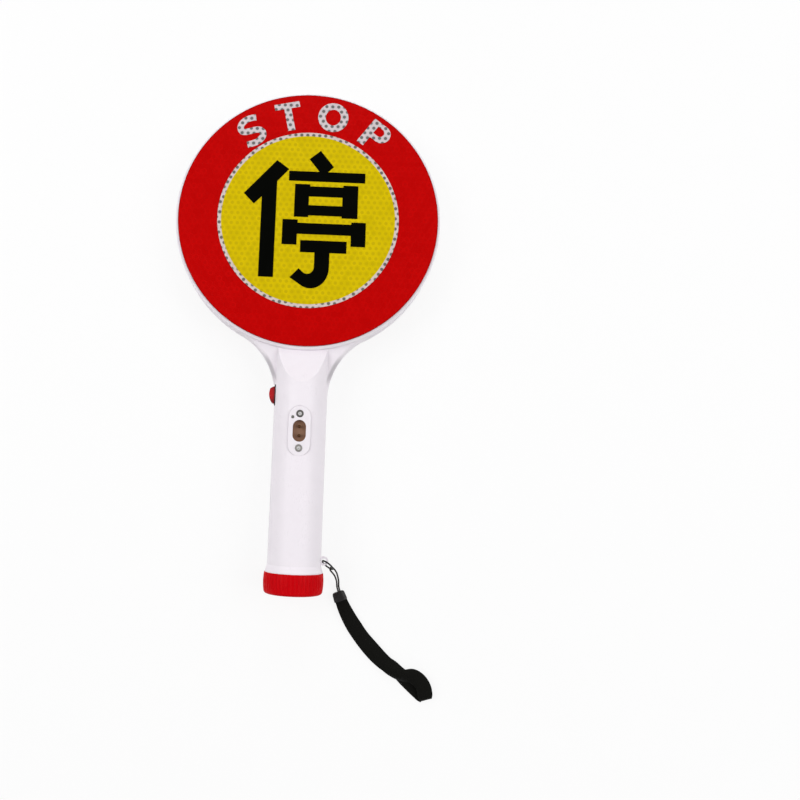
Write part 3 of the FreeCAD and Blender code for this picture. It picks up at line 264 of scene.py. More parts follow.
class PADDLE_PG_stage(bpy.types.PropertyGroup):
    """Camera and light."""

    focal: FloatProperty(name="Focal length", description="Focal length of the camera on a 36 mm frame",
                         unit="CAMERA", default=34.754, min=10.0)
    key_power: power_property("Key lamp", "Power of the main soft lamp", 8.9)
    fill_power: power_property("Fill lamp", "Power of the second soft lamp", 8.6)
    head_power: power_property("Head lamp", "Power of the soft lamp on the head's side", 4.3)
    low_power: power_property("Low lamp", "Power of the soft lamp on the grip's side", 1.4)
    sky_level: FloatProperty(name="Sky level", description="Level of the light from all round", default=0.3,
                             min=0.0)


def feed(tree, made, given):
    """Links a node's inputs to sockets, or sets them to plain values."""
    for key, value in given.items():
        if isinstance(value, bpy.types.NodeSocket):
            tree.links.new(value, made.inputs[key])
        else:
            made.inputs[key].default_value = value


def node(tree, kind, given=None, **settings):
    """New node with its settings and its inputs."""
    made = tree.nodes.new(kind)
    for name, value in settings.items():
        setattr(made, name, value)
    feed(tree, made, given or {})
    return made


def maths(tree, operation, *values):
    """Math node on sockets or plain numbers; gives its output."""
    return node(tree, "ShaderNodeMath", dict(enumerate(values)), operation=operation).outputs[0]


def times(tree, *values):
    """Product of two sockets or plain numbers."""
    return maths(tree, "MULTIPLY", *values)


def vectors(tree, operation, *values):
    """Vector Math node on sockets or plain vectors; gives the output that the operation has."""
    made = node(tree, "ShaderNodeVectorMath", dict(enumerate(values)), operation=operation)
    return made.outputs["Value" if operation in ("LENGTH", "DISTANCE", "DOT_PRODUCT") else "Vector"]


def falling(tree, value, start, width):
    """1 below start, and smoothly down to 0 over width."""
    given = {"Value": value, "From Min": start, "From Max": maths(tree, "ADD", start, width), "To Min": 1.0,
             "To Max": 0.0}
    return node(tree, "ShaderNodeMapRange", given, interpolation_type="SMOOTHSTEP").outputs[0]


def spread(tree, value, low, high):
    """A 0 to 1 value moved to a range."""
    return node(tree, "ShaderNodeMapRange", {"Value": value, "To Min": low, "To Max": high}).outputs[0]


def mixed(tree, share, low, high):
    """Colour between two, by a share; each may be a colour or a socket."""
    return node(tree, "ShaderNodeMix", {"Factor": share, 6: low, 7: high}, data_type="RGBA").outputs[2]


def noise(tree, vector, scale, detail=2.0, roughness=0.5):
    """Noise texture on a vector; gives its value."""
    given = {"Vector": vector, "Scale": scale, "Detail": detail, "Roughness": roughness}
    return node(tree, "ShaderNodeTexNoise", given).outputs["Fac"]


def bumped(tree, height, distance):
    """Bump node; gives its normal."""
    return node(tree, "ShaderNodeBump", {"Height": height, "Distance": distance}).outputs["Normal"]


def combined(tree, **parts):
    """Vector from its parts."""
    return node(tree, "ShaderNodeCombineXYZ", parts).outputs[0]


def off_axis(tree, vector, x, y):
    """Distance from the line that goes straight through both faces at a point."""
    away = vectors(tree, "SUBTRACT", vector, tuple(LAY @ Vector((x, y, 0.0))))
    return vectors(tree, "LENGTH", vectors(tree, "CROSS_PRODUCT", away, FACE_AXIS))


def object_place(tree):
    """Object coordinates."""
    return tree.nodes.new("ShaderNodeTexCoord").outputs["Object"]


def fill_cells(tree, given):
    """Hexagonal cells of reflective sheeting, with a dot in each and a seam round it."""
    pitch, dot_radius, seam_width = given["Pitch"], given["Dot Radius"], given["Seam Width"]
    flat = vectors(tree, "MULTIPLY", vectors(tree, "ADD", given["Vector"], CELL_SHIFT), (1.0, 1.0, 0.0))
    cell = combined(tree, X=pitch, Y=times(tree, pitch, math.sqrt(3.0)), Z=1.0)
    halves = vectors(tree, "MULTIPLY", cell, (0.5, 0.5, 0.0))
    found = []
    for start in (flat, vectors(tree, "ADD", flat, halves)):
        share = vectors(tree, "ADD", vectors(tree, "DIVIDE", start, cell), (0.5, 0.5, 0.0))
        index = vectors(tree, "FLOOR", share)
        local = vectors(tree, "SUBTRACT", start, vectors(tree, "MULTIPLY", index, cell))
        size = vectors(tree, "ABSOLUTE", local)
        across = vectors(tree, "DOT_PRODUCT", size, (1.0, 0.0, 0.0))
        aslant = vectors(tree, "DOT_PRODUCT", size, (0.5, math.sqrt(0.75), 0.0))
        found.append((vectors(tree, "LENGTH", local), maths(tree, "MAXIMUM", across, aslant), index))
    (near_a, edge_a, index_a), (near_b, edge_b, index_b) = found
    near = maths(tree, "MINIMUM", near_a, near_b)
    dot = falling(tree, near, dot_radius, times(tree, dot_radius, 0.5))
    inner = maths(tree, "SUBTRACT", times(tree, pitch, 0.5), seam_width)
    tile = falling(tree, maths(tree, "MINIMUM", edge_a, edge_b), inner, seam_width)
    choice = {"Factor": maths(tree, "LESS_THAN", near_b, near_a), 4: index_a,
              5: vectors(tree, "ADD", index_b, (0.37, 0.61, 0.0))}
    picked = node(tree, "ShaderNodeMix", choice, data_type="VECTOR").outputs[1]
    tone = node(tree, "ShaderNodeTexWhiteNoise", {"Vector": picked}).outputs["Value"]
    height = maths(tree, "SUBTRACT", tile, times(tree, dot, 0.6))
    return dot, maths(tree, "SUBTRACT", 1.0, tile), tone, height


def fill_grain(tree, given):
    """Fine grain, soft waviness and handling marks of moulded plastic."""
    vector, scuff_scale = given["Vector"], given["Scuff Scale"]
    grain = noise(tree, vector, given["Grain Scale"], 3.0, 0.6)
    wave = noise(tree, vector, scuff_scale, 4.0, 0.62)
    stretched = vectors(tree, "MULTIPLY", vector, (4.0, 0.7, 1.0))
    streaked = noise(tree, stretched, times(tree, scuff_scale, 6.0), 2.0, 0.7)
    scuff = times(tree, falling(tree, maths(tree, "SUBTRACT", 1.0, wave), 0.36, 0.12),
                  falling(tree, maths(tree, "SUBTRACT", 1.0, streaked), 0.40, 0.08))
    return wave, scuff, maths(tree, "ADD", grain, times(tree, wave, 0.8))


def fill_metal(tree, given):
    """Fine drawn lines and dull patches of plated metal."""
    stretched = vectors(tree, "MULTIPLY", given["Vector"], (1.0, 0.06, 1.0))
    lines = noise(tree, stretched, given["Line Scale"], 3.0, 0.6)
    return lines, noise(tree, given["Vector"], 160.0, 4.0, 0.6), lines


def fill_weave(tree, given):
    """Ribs of yarn that step over and under each other, on a UV map laid out in metres."""
    parts = node(tree, "ShaderNodeSeparateXYZ", {0: given["Vector"]}).outputs
    across = maths(tree, "DIVIDE", parts["X"], given["Pitch"])
    along = maths(tree, "DIVIDE", parts["Y"], times(tree, given["Pitch"], given["Step"]))
    slanted = maths(tree, "ADD", along, times(tree, maths(tree, "FLOOR", across), 0.5))
    waves = []
    for share, power in ((across, 0.6), (slanted, 0.5)):
        sine = maths(tree, "SINE", times(tree, share, math.pi))
        waves.append(maths(tree, "POWER", maths(tree, "ABSOLUTE", sine), power))
    yarn = times(tree, *waves)
    fibre = noise(tree, vectors(tree, "MULTIPLY", given["Vector"], (9.0, 1.0, 1.0)), 1500.0, 2.0, 0.7)
    return yarn, fibre, maths(tree, "ADD", yarn, times(tree, fibre, 0.25))


# Shader node groups: what fills each, its inputs with their defaults, and the outputs before its normal
SURFACES = {
    "Reflective Cells": (fill_cells, {"Pitch": 0.0038, "Dot Radius": 0.0007, "Seam Width": 0.0003,
                                      "Depth": 0.00004}, ("Dot", "Seam", "Tone")),
    "Moulded Grain": (fill_grain, {"Grain Scale": 2600.0, "Scuff Scale": 90.0, "Depth": 0.00001},
                      ("Tone", "Scuff")),
    "Worn Metal": (fill_metal, {"Line Scale": 900.0, "Depth": 0.000006}, ("Lines", "Patches")),
    "Woven Ribs": (fill_weave, {"Pitch": 0.00075, "Step": 1.7, "Depth": 0.00012}, ("Yarn", "Fibre")),
}


def new_surface(name):
    """Makes one of the shader node groups."""
    fill, inputs, outputs = SURFACES[name]
    tree = bpy.data.node_groups.new(name, "ShaderNodeTree")
    add = tree.interface.new_socket
    add("Vector", in_out="INPUT", socket_type="NodeSocketVector")
    for label, default in inputs.items():
        add(label, in_out="INPUT", socket_type="NodeSocketFloat").default_value = default
    for label in outputs:
        add(label, in_out="OUTPUT", socket_type="NodeSocketFloat")
    add("Normal", in_out="OUTPUT", socket_type="NodeSocketVector")
    given = tree.nodes.new("NodeGroupInput").outputs
    *values, height = fill(tree, given)
    values.append(bumped(tree, height, given["Depth"]))
    node(tree, "NodeGroupOutput", dict(enumerate(values)))
    return tree


def blank_material(name):
    """New material; gives it, its tree and its shader."""
    made = bpy.data.materials.new("paddle_" + name)
    FINISHES[name] = made
    made.use_nodes = True
    return made, made.node_tree, made.node_tree.nodes["Principled BSDF"]


def surfaced(name, kind, place="Object", **values):
    """New material with one of the groups; gives it, its tree, its shader and the group's outputs."""
    made, tree, shader = blank_material(name)
    group = node(tree, "ShaderNodeGroup", node_tree=bpy.data.node_groups.get(kind) or new_surface(kind))
    given = {label.replace("_", " ").title(): value for label, value in values.items()}
    feed(tree, group, {"Vector": tree.nodes.new("ShaderNodeTexCoord").outputs[place], **given})
    feed(tree, shader, {"Normal": group.outputs["Normal"]})
    return made, tree, shader, group.outputs


def plain_colour(material):
    """Tree and shader of a finished material, and the socket that its colour comes from."""
    shader = material.node_tree.nodes["Principled BSDF"]
    return material.node_tree, shader, shader.inputs["Base Color"].links[0].from_socket


def sheeting(name, colour, dot_colour, seam_share, sizes, edge_radius=0.0):
    """Reflective sheeting: cells with dots under a clear gloss face, and a rim of painted shade if it has an
    edge.
    """
    made, tree, shader, cells = surfaced(name, "Reflective Cells", pitch=sizes.cell_pitch,
                                         dot_radius=sizes.dot_radius)
    face = mixed(tree, cells["Tone"], scaled(colour, 0.93), scaled(colour, 1.05))
    face = mixed(tree, times(tree, cells["Seam"], seam_share), face, scaled(colour, 1.25))
    face = mixed(tree, cells["Dot"], face, dot_colour)
    if edge_radius:
        # Painted shade: the sheeting darkens to 0.45 of its colour in a thin rim inside its edge
        middle = off_axis(tree, object_place(tree), 0.0, HEAD_Y)
        inside = falling(tree, middle, (edge_radius - EDGE_SHADE_WIDTH) * MM, EDGE_SHADE_FADE * MM)
        face = mixed(tree, inside, scaled(colour, 0.45), face)
    feed(tree, shader, {"Base Color": face, "Roughness": spread(tree, cells["Tone"], 0.30, 0.40),
                        "Specular IOR Level": 0.04, "Coat Weight": 0.03, "Coat Roughness": 0.12})
    return made


def moulded(name, colour, roughness=0.38, depth=0.00001, grain_scale=2600.0, coat=0.0, gloss=0.4):
    """Moulded plastic with grain, a soft unevenness and handling marks."""
    made, tree, shader, grain = surfaced(name, "Moulded Grain", grain_scale=grain_scale, depth=depth)
    toned = mixed(tree, grain["Tone"], scaled(colour, 0.95), scaled(colour, 1.03))
    marked = mixed(tree, times(tree, grain["Scuff"], 0.25), toned, scaled(colour, 0.80))
    rough = maths(tree, "ADD", spread(tree, grain["Tone"], roughness - 0.06, roughness + 0.06),
                  times(tree, grain["Scuff"], 0.12))
    feed(tree, shader, {"Base Color": marked, "Roughness": rough, "Specular IOR Level": gloss,
                        "Coat Weight": coat})
    return made


def metal(name, colour, roughness=0.3, line_scale=900.0):
    """Plated or turned metal."""
    made, tree, shader, worn = surfaced(name, "Worn Metal", line_scale=line_scale)
    toned = mixed(tree, worn["Lines"], scaled(colour, 0.86), scaled(colour, 1.08))
    rough = spread(tree, worn["Patches"], roughness - 0.08, roughness + 0.14)
    feed(tree, shader, {"Base Color": toned, "Roughness": rough, "Metallic": 1.0})
    return made


def woven(name, colour, pitch, step, depth):
    """Woven or braided yarn that follows the piece's own UV map."""
    made, tree, shader, weave = surfaced(name, "Woven Ribs", "UV", pitch=pitch, step=step, depth=depth)
    yarn = mixed(tree, weave["Yarn"], scaled(colour, 0.35), scaled(colour, 1.3))
    toned = mixed(tree, times(tree, weave["Fibre"], 0.5), yarn, scaled(colour, 1.9))
    feed(tree, shader, {"Base Color": toned, "Roughness": spread(tree, weave["Fibre"], 0.62, 0.86),
                        "Specular IOR Level": 0.1, "Sheen Weight": 0.02, "Sheen Roughness": 0.4})
    return made


def dress(part_name, material):
    """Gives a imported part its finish."""
    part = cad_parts[part_name]
    if not part.material_slots:
        part.data.materials.append(material)
    for place in part.material_slots:
        place.material = material


def heading(points, i):
    """Direction of a line of points at one of them."""
    return (Vector(points[min(i + 1, len(points) - 1)]) - Vector(points[max(i - 1, 0)])).normalized()


def distances(line):
    """Way travelled along a line, at each of its points."""
    travel = [0.0]
    for a, b in zip(line, line[1:]):
        travel.append(travel[-1] + (b - a).length)
    return travel


def circle(sides):
    """Cosine and sine of equal steps round a circle."""
    return [(math.cos(math.tau * k / sides), math.sin(math.tau * k / sides)) for k in range(sides)]


def arc_points(centre, radii, start_deg, end_deg, count):
    """Points along an ellipse's arc."""
    angles = [math.radians(start_deg + (end_deg - start_deg) * i / count) for i in range(count + 1)]
    return [(centre[0] + radii[0] * math.cos(a), centre[1] + radii[1] * math.sin(a)) for a in angles]


def beside_foot(point):
    """A point of the strap, from millimetres beside the foot of the cap to metres."""
    return (Vector(point) + FOOT) * MM


def skinned(rings, closed=False, shape=None, unwrapped=None):
    """Skin over rings of points, with flat ends unless the last ring joins the first.

    unwrapped gives a corner's place on the UV map from its number round its ring and its ring's number.
    """
    if shape is None:
        shape = bmesh.new()
    layer = shape.loops.layers.uv.new("UVMap") if unwrapped else None
    rings = [[shape.verts.new(point) for point in ring] for ring in rings]
    sides = len(rings[0])
    for i, (low, high) in enumerate(zip(rings, rings[1:] + rings[:1] if closed else rings[1:])):
        for k in range(sides):
            n = (k + 1) % sides
            face = shape.faces.new((low[k], low[n], high[n], high[k]))
            if unwrapped:
                for loop, corner in zip(face.loops, ((k, i), (k + 1, i), (k + 1, i + 1), (k, i + 1))):
                    loop[layer].uv = unwrapped(*corner)
    if not closed:
        shape.faces.new(rings[0][::-1])
        shape.faces.new(rings[-1])
    return shape


def linked(name, data):
    """New object in the scene."""
    made = bpy.data.objects.new(name, data)
    bpy.context.scene.collection.objects.link(made)
    return made


def piece_from_bmesh(name, shape, material, body="root", place=None, sharp_deg=35.0):
    """Finished mesh piece at the origin, from a bmesh, riding on a body."""
    bmesh.ops.remove_doubles(shape, verts=shape.verts, dist=1e-6 if place is None else 1e-4)
    bmesh.ops.recalc_face_normals(shape, faces=shape.faces)
    if place is not None:
        shape.transform(place)
    data = bpy.data.meshes.new(name)
    shape.to_mesh(data)
    shape.free()
    data.materials.append(material)
    data.polygons.foreach_set("use_smooth", [True] * len(data.polygons))
    data.set_sharp_from_angle(angle=math.radians(sharp_deg))
    made = linked(name, data)
    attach(made, body)
    return made


def evaluated(holder):
    """Plain mesh that an object comes out as; the object goes."""
    bpy.context.view_layer.update()
    made = bpy.data.meshes.new_from_object(holder.evaluated_get(bpy.context.evaluated_depsgraph_get()))
    bpy.data.objects.remove(holder)
    return made


def piece_from_holder(name, holder, material, place):
    """Finished piece from what an object comes out as."""
    mesh = evaluated(holder)
    shape = bmesh.new()
    shape.from_mesh(mesh)
    bpy.data.meshes.remove(mesh)
    return piece_from_bmesh(name, shape, material, "root", place)


def new_curve(kind, loops, **settings):
    """Curve with a spline of the same settings through each loop of points."""
    curve = bpy.data.curves.new("line", "CURVE")
    curve.dimensions = "3D"
    for loop in loops:
        spline = curve.splines.new(kind)
        spline.points.add(len(loop) - 1)
        for spot, point in zip(spline.points, loop):
            spot.co = (*point, 1.0)
        for name, value in settings.items():
            setattr(spline, name, value)
    return curve


def smooth_line(points, resolution=12):
    """Points along an open NURBS line of order 3 that runs from the first point to the last."""
    curve = new_curve("NURBS", [points], order_u=3, use_endpoint_u=True, resolution_u=resolution)
    mesh = evaluated(linked("line", curve))
    found = [v.co.copy() for v in mesh.vertices]
    bpy.data.meshes.remove(mesh)
    bpy.data.curves.remove(curve)
    return found


def filled_film(name, loops, thickness, place, material):
    """Flat film cut to closed outlines, with the loops inside others as holes."""
    curve = new_curve("POLY", [[(x, y, 0.0) for x, y in loop] for loop in loops], use_cyclic_u=True)
    curve.dimensions = "2D"
    curve.fill_mode = "BOTH"
    curve.extrude = thickness / 2
    made = piece_from_holder(name, linked(name, curve), material, place)
    bpy.data.curves.remove(curve)
    return made


def widened(line, half):
    """Closed outline round a line, half a stroke to each side, with square ends."""
    right, left = [], []
    for i, spot in enumerate(line):
        ahead = heading(line, i)
        side = Vector((ahead.y, -ahead.x)) * half
        right.append(tuple(spot + side))
        left.append(tuple(spot - side))
    return right + left[::-1]


def letter_loops(letter, height, stroke):
    """Outlines of a plain block letter, centred."""
    top = height / 2
    if letter == "S":
        line = smooth_line([(x * height, y * height, 0.0) for x, y in S_LINE], 8)
        return [widened([point.xy for point in line], stroke / 2)]
    if letter == "T":
        wide, half, low = 0.4375 * height, 0.56 * stroke, top - 0.94 * stroke
        return [[(-wide, top), (wide, top), (wide, low), (half, low), (half, -top), (-half, -top),
                 (-half, low), (-wide, low)]]
    if letter == "O":
        outer = arc_points((0, 0), (0.500 * height, top), 0, 360, 48)[:-1]
        inner = arc_points((0, 0), (0.500 * height - 1.18 * stroke, top - 1.06 * stroke), 360, 0, 40)[:-1]
        return [outer, inner]
    left, bowl, hollow = -0.417 * height, 0.311 * height, 0.145 * height
    stem = left + 1.2 * stroke
    bowl_y, hollow_y = top - bowl, 0.203 * height
    outer = [(left, -top), (left, top)] + arc_points((0.091 * height, bowl_y), (bowl, bowl), 90, -90, 22)
    outer += [(stem, bowl_y - bowl), (stem, -top)]
    hole = [(stem, hollow_y + hollow)]
    hole += arc_points((0.022 * height, hollow_y), (hollow, hollow), 90, -90, 16)
    hole += [(stem, hollow_y - hollow)]
    return [outer, hole[::-1]]


def helix_ridge(root_radius, crest_radius, start_y, pitch, turns):
    """Thread ridge round the cap's axis, running out at both ends, in the paddle's own frame."""
    steps = int(turns * THREAD_STEPS)
    rings = []
    for i in range(steps + 1):
        turn = turns * i / steps
        angle = math.tau * turn
        swell = max(THREAD_LEAST, min(1.0, THREAD_SWELL * turn, THREAD_SWELL * (turns - turn)))
        crest = root_radius + (crest_radius - root_radius) * swell
        section = ((root_radius, THREAD_ROOT), (crest, THREAD_CREST), (crest, -THREAD_CREST),
                   (root_radius, -THREAD_ROOT))
        rings.append([(radius * math.cos(angle), start_y - pitch * turn + width / 2, radius * math.sin(angle))
                      for radius, width in section])
    return skinned(rings)


class PaddleStep:
    """What the operators share: each builds with the scene's colours and sizes."""

    def execute(self, context):
        self.build(context.scene.paddle_colours, context.scene.paddle_sizes)
        return {"FINISHED"}


def make_floor():
    """Pale floor, nearly white to the camera, to gloss and through glass, with its shadows kept."""
    shape = bmesh.new()
    bmesh.ops.create_grid(shape, x_segments=8, y_segments=8, size=3.0)
    data = bpy.data.meshes.new("floor")
    shape.to_mesh(data)
    shape.free()
    floor = linked("floor", data)
    made, tree, shader = blank_material("pale_floor")
    speck = noise(tree, object_place(tree), 40.0, 3.0)
    shade = mixed(tree, speck, (0.86, 0.86, 0.86, 1.0), (0.90, 0.90, 0.90, 1.0))
    feed(tree, shader, {"Base Color": shade, "Roughness": 0.9})
    rays = tree.nodes.new("ShaderNodeLightPath").outputs
    seen = maths(tree, "MAXIMUM", rays["Is Camera Ray"],
                 maths(tree, "MAXIMUM", rays["Is Glossy Ray"], rays["Is Transmission Ray"]))
    glow = node(tree, "ShaderNodeEmission", {"Strength": 1.0})
    blend = node(tree, "ShaderNodeMixShader", {"Fac": times(tree, seen, FLOOR_GLOW),
                                               1: shader.outputs[0], 2: glow.outputs[0]})
    feed(tree, tree.nodes["Material Output"], {"Surface": blend.outputs[0]})
    data.materials.append(made)


def make_sky(scene, level):
    """Even light from all round, white to the camera."""
    world = bpy.data.worlds.new("studio")
    world.use_nodes = True
    scene.world = world
    tree = world.node_tree
    rays = tree.nodes.new("ShaderNodeLightPath").outputs
    feed(tree, tree.nodes["Background"], {"Color": (1.0, 1.0, 1.0, 1.0),
                                          "Strength": spread(tree, rays["Is Camera Ray"], level, 1.0)})


class PADDLE_OT_stage(PaddleStep, bpy.types.Operator):
    """Sets up the camera, the pale floor and the soft light"""

    bl_idname = "paddle.stage"
    bl_label = "Camera and Light"

    def build(self, colours, sizes):
        scene = bpy.context.scene
        stage = scene.paddle_stage
        scene.view_settings.view_transform = "Standard"
        lens = bpy.data.cameras.new("paddle_camera")
        lens.lens = stage.focal
        lens.shift_x = CAMERA_SHIFT
        lens.clip_start, lens.clip_end = 0.02, 20.0
        scene.camera = linked("paddle_camera", lens)
        scene.camera.location = CAMERA_SPOT
        scene.camera.rotation_euler = [math.radians(angle) for angle in CAMERA_TURN_DEG]
        make_floor()
        for name, spot, size in LAMPS:
            light = bpy.data.lights.new(name + "_lamp", "AREA")
            light.shape = "DISK"
            light.size = size
            light.energy = getattr(stage, name + "_power")
            lamp = linked(light.name, light)
            lamp.location = spot
            lamp.rotation_euler = (-Vector(spot)).to_track_quat("-Z", "Y").to_euler()
        make_sky(scene, stage.sky_level)


def make_cord(line, diameter):
    """Round tube along a line, with its UV map in metres."""
    travel = distances(line)
    side = Vector((0.0, 0.0, 1.0))
    rings = []
    for i, spot in enumerate(line):
        ahead = heading(line, i)
        side = (side - ahead * side.dot(ahead)).normalized()
        up = ahead.cross(side)
        rings.append([spot + (side * c + up * s) * diameter / 2 for c, s in circle(CORD_SIDES)])
    step = math.pi * diameter / CORD_SIDES
    shape = skinned(rings, unwrapped=lambda k, i: (step * k, travel[i]))
    braid = woven("cord_braid", linear(60, 59, 56), 0.00035, 1.6, 0.00006)
    return piece_from_bmesh("wrist_cord", shape, braid, sharp_deg=60.0)


def make_sleeve(ribs):
    """Moulded sleeve: rounded sections that widen towards the webbing, with ribs."""
    along = FERRULE_END - FERRULE_START
    side = Vector((-along.y, along.x, 0.0)).normalized()
    rings = []
    for i in range(FERRULE_STATIONS + 1):
        t = i / FERRULE_STATIONS
        shoulder = 1.0 - min(1.0, t / SHOULDER_SHARE)
        ends = SHOULDER_START + (1.0 - SHOULDER_START) * math.sqrt(1.0 - shoulder * shoulder)
        ends -= LIP_EASE * max(0.0, (t - LIP_FROM) / (1.0 - LIP_FROM))
        rib = 0.0
        if RIBS_FROM < t < RIBS_TO:
            rib = RIB_HEIGHT * max(0.0, math.sin(math.tau * ribs * (t - RIBS_FROM) / (RIBS_TO - RIBS_FROM)))
        wide = ((FERRULE_WIDTH + FERRULE_SPREAD * t) / 2 + rib) * ends
        high = (FERRULE_HEIGHT / 2 + rib) * ends
        ring = []
        for corner in circle(FERRULE_SIDES):
            c, s = [math.copysign(abs(value) ** FERRULE_ROUNDING, value) for value in corner]
            ring.append(beside_foot(FERRULE_START + along * t + side * (wide * c) + Vector((0, 0, high * s))))
        rings.append(ring)
    finish = moulded("sleeve_black", linear(21, 18, 19), 0.42, 0.00002, 1800.0)
    sleeve = piece_from_bmesh("strap_sleeve", skinned(rings), finish, sharp_deg=40.0)
    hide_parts("strap_ferrule")
    return sleeve


class PADDLE_OT_cord(PaddleStep, bpy.types.Operator):
    """Makes the strap's cord round the ring, with its moulded sleeve"""

    bl_idname = "paddle.cord"
    bl_label = "Strap Cord and Sleeve"

    def build(self, colours, sizes):
        line = smooth_line([beside_foot(point) for point in CORD_ROUTE])
        cord = make_cord(line, sizes.cord_diameter)
        sleeve = make_sleeve(sizes.ferrule_ribs)
        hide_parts("strap_cord")
        dress("strap_ring", metal("blackened_wire", linear(60, 60, 62), 0.36))


def band_levels(line, turn):
    """Level direction across the band at each point, eased along it."""
    found = []
    for i in range(len(line)):
        flat = Vector((*heading(line, i).xy, 0.0)) * (1.0 if i <= turn else -1.0)
        steep = flat.length < STEEP_BELOW
        found.append(found[-1] if steep else Vector((flat.y, -flat.x, 0.0)).normalized())
    return [sum(found[max(0, i - EASE_OVER):i + EASE_OVER + 1], Vector()).normalized()
            for i in range(len(found))]


def band_sections(line, travel, width, thickness):
    """Closed sections of the band: pinched at the sleeve, twisted once and eased where it folds."""
    turn = max(range(len(line)), key=lambda i: (line[i] - line[0]).length)
    found = []
    for i, (spot, side) in enumerate(zip(line, band_levels(line, turn))):
        up = side.cross(heading(line, i)).normalized() * (1.0 if i <= turn else -1.0)
        if i > turn:
            near = (spot.xy / MM - TWIST_SPOT).length
            roll = math.radians(TWIST_DEG) * math.exp(-(near / TWIST_REACH) ** 2)
            rolled = side * math.cos(roll) + up * math.sin(roll)
            side, up = rolled, up * math.cos(roll) - side * math.sin(roll)
        near_end = min(travel[i], travel[-1] - travel[i])
        pinch = PINCH * max(0.0, 1.0 - near_end / PINCH_REACH)
        folded = FOLD_EASE * math.exp(-((travel[i] - travel[turn]) / FOLD_REACH) ** 2)
        bend = BAND_BEND + WAIST_BEND * math.exp(-((near_end - WAIST_AT) / WAIST_REACH) ** 2)
        radius = width / 2 * (1.0 - pinch) * (1.0 - folded) / bend
        section = []
        for u, v in BAND_SECTION:
            reach = radius + v * thickness / 2
            rise = reach * math.cos(u * bend) - radius * math.cos(bend)
            section.append(spot + side * (reach * math.sin(u * bend)) + up * rise)
        found.append(section)
    return found


class PADDLE_OT_webbing(PaddleStep, bpy.types.Operator):
    """Makes the wrist loop, one band of webbing folded back on itself"""

    bl_idname = "paddle.webbing"
    bl_label = "Wrist Loop"

    def build(self, colours, sizes):
        width, thickness = sizes.webbing_width, sizes.webbing_thickness
        line = smooth_line([beside_foot(point) for point in LOWER_RUN + LOOP_END + UPPER_RUN], 10)
        travel = distances(line)
        across = [width * (u + 1.0) / 2 for u, v in BAND_SECTION]
        shape = skinned(band_sections(line, travel, width, thickness),
                        unwrapped=lambda k, i: (across[k % len(across)], travel[i]))
        weave = woven("webbing_weave", colours.strap_black, sizes.weave_pitch, 1.7, 0.00012)
        loop = piece_from_bmesh("wrist_loop", shape, weave, sharp_deg=60.0)
        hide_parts("strap_webbing")


def painted_wing_shade(material, colours):
    """Painted shade just inside the edges where the wings leave the grip and the flare curves away."""
    tree, shader, clean = plain_colour(material)
    place = object_place(tree)
    y = node(tree, "ShaderNodeSeparateXYZ", {0: place}).outputs["Y"]
    reach = maths(tree, "MINIMUM", *[off_axis(tree, place, side * FLARE_X, HEAD_Y - FLARE_DROP)
                                     for side in (-1, 1)])
    inward = maths(tree, "ABSOLUTE", maths(tree, "SUBTRACT", reach, (FLARE_RADIUS + WING_SHADE_INSET) * MM))
    along = maths(tree, "ABSOLUTE", maths(tree, "SUBTRACT", y, (SHIFT_Y + WING_SHADE_Y) * MM))
    # Painted shade: the shell darkens to 0.6 of its white in a band along each wing's edge
    share = times(tree, falling(tree, inward, 0.4 * MM, 1.6 * MM), falling(tree, along, 3.0 * MM, 9.0 * MM))
    feed(tree, shader, {"Base Color": mixed(tree, share, clean, scaled(colours.shell_white, 0.60))})


def make_parting_line():
    """Fine shadow line round the side where the halves meet, left out at the switch."""
    start = math.degrees(math.atan2(-FLARE_DROP, FLARE_X))
    end = math.degrees(math.atan2(FLARE_DROP, -FLARE_X))
    curve = arc_points((FLARE_X, HEAD_Y - FLARE_DROP), (FLARE_RADIUS, FLARE_RADIUS), 180.0, end, 48)
    curve += arc_points((0.0, HEAD_Y), (HEAD_RADIUS, HEAD_RADIUS), start, 90.0, 120)[1:]
    right = [(GRIP_RADIUS, COLLAR_EDGE)] + curve
    left = [(-x, y) for x, y in curve if y > SWITCH_Y + BEZEL_REACH]
    low_left = [(-GRIP_RADIUS, COLLAR_TOP), (-GRIP_RADIUS, SWITCH_Y - BEZEL_REACH)]
    shape = bmesh.new()
    for run, turned in ((right, 1.0), (left, -1.0), (low_left, -1.0)):
        rings = []
        for i, (x, y) in enumerate(run):
            ahead = heading(run, i) * turned
            rings.append([(x + ahead.y * out, y - ahead.x * out, z) for out, z in SEAM_SECTION])
        skinned(rings, shape=shape)
    piece_from_bmesh("parting_line", shape, moulded("parting_grey", linear(190, 186, 193), 0.6), place=LAY)


class PADDLE_OT_shells(PaddleStep, bpy.types.Operator):
    """Finishes the moulded shells and the line where they meet"""

    bl_idname = "paddle.shells"
    bl_label = "Shells"

    def build(self, colours, sizes):
        white = moulded("shell_white", colours.shell_white, 0.42, 0.000012, 1900.0, gloss=0.2)
        dress("front_shell", white)
        dress("rear_shell", white)
        painted_wing_shade(white, colours)
        make_parting_line()


class PADDLE_OT_faces(PaddleStep, bpy.types.Operator):
    """Finishes the reflective boards, rings and discs on both sides"""

    bl_idname = "paddle.faces"
    bl_label = "Reflective Faces"

    def build(self, colours, sizes):
        red = sheeting("board_red", colours.board_red, scaled(colours.board_red, 0.95), 0.03, sizes,
                       BOARD_RADIUS)
        white = sheeting("film_white", colours.ring_white, linear(104, 102, 98), 0.3, sizes)
        yellow = sheeting("film_yellow", colours.disc_yellow, linear(195, 169, 6), 0.12, sizes)
        sheeting("letter_white", colours.letter_white, linear(108, 106, 106), 0.3, sizes)
        for side in ("front", "rear"):
            dress(side + "_face_board", red)
            dress(side + "_white_film", white)
            dress(side + "_yellow_film", yellow)


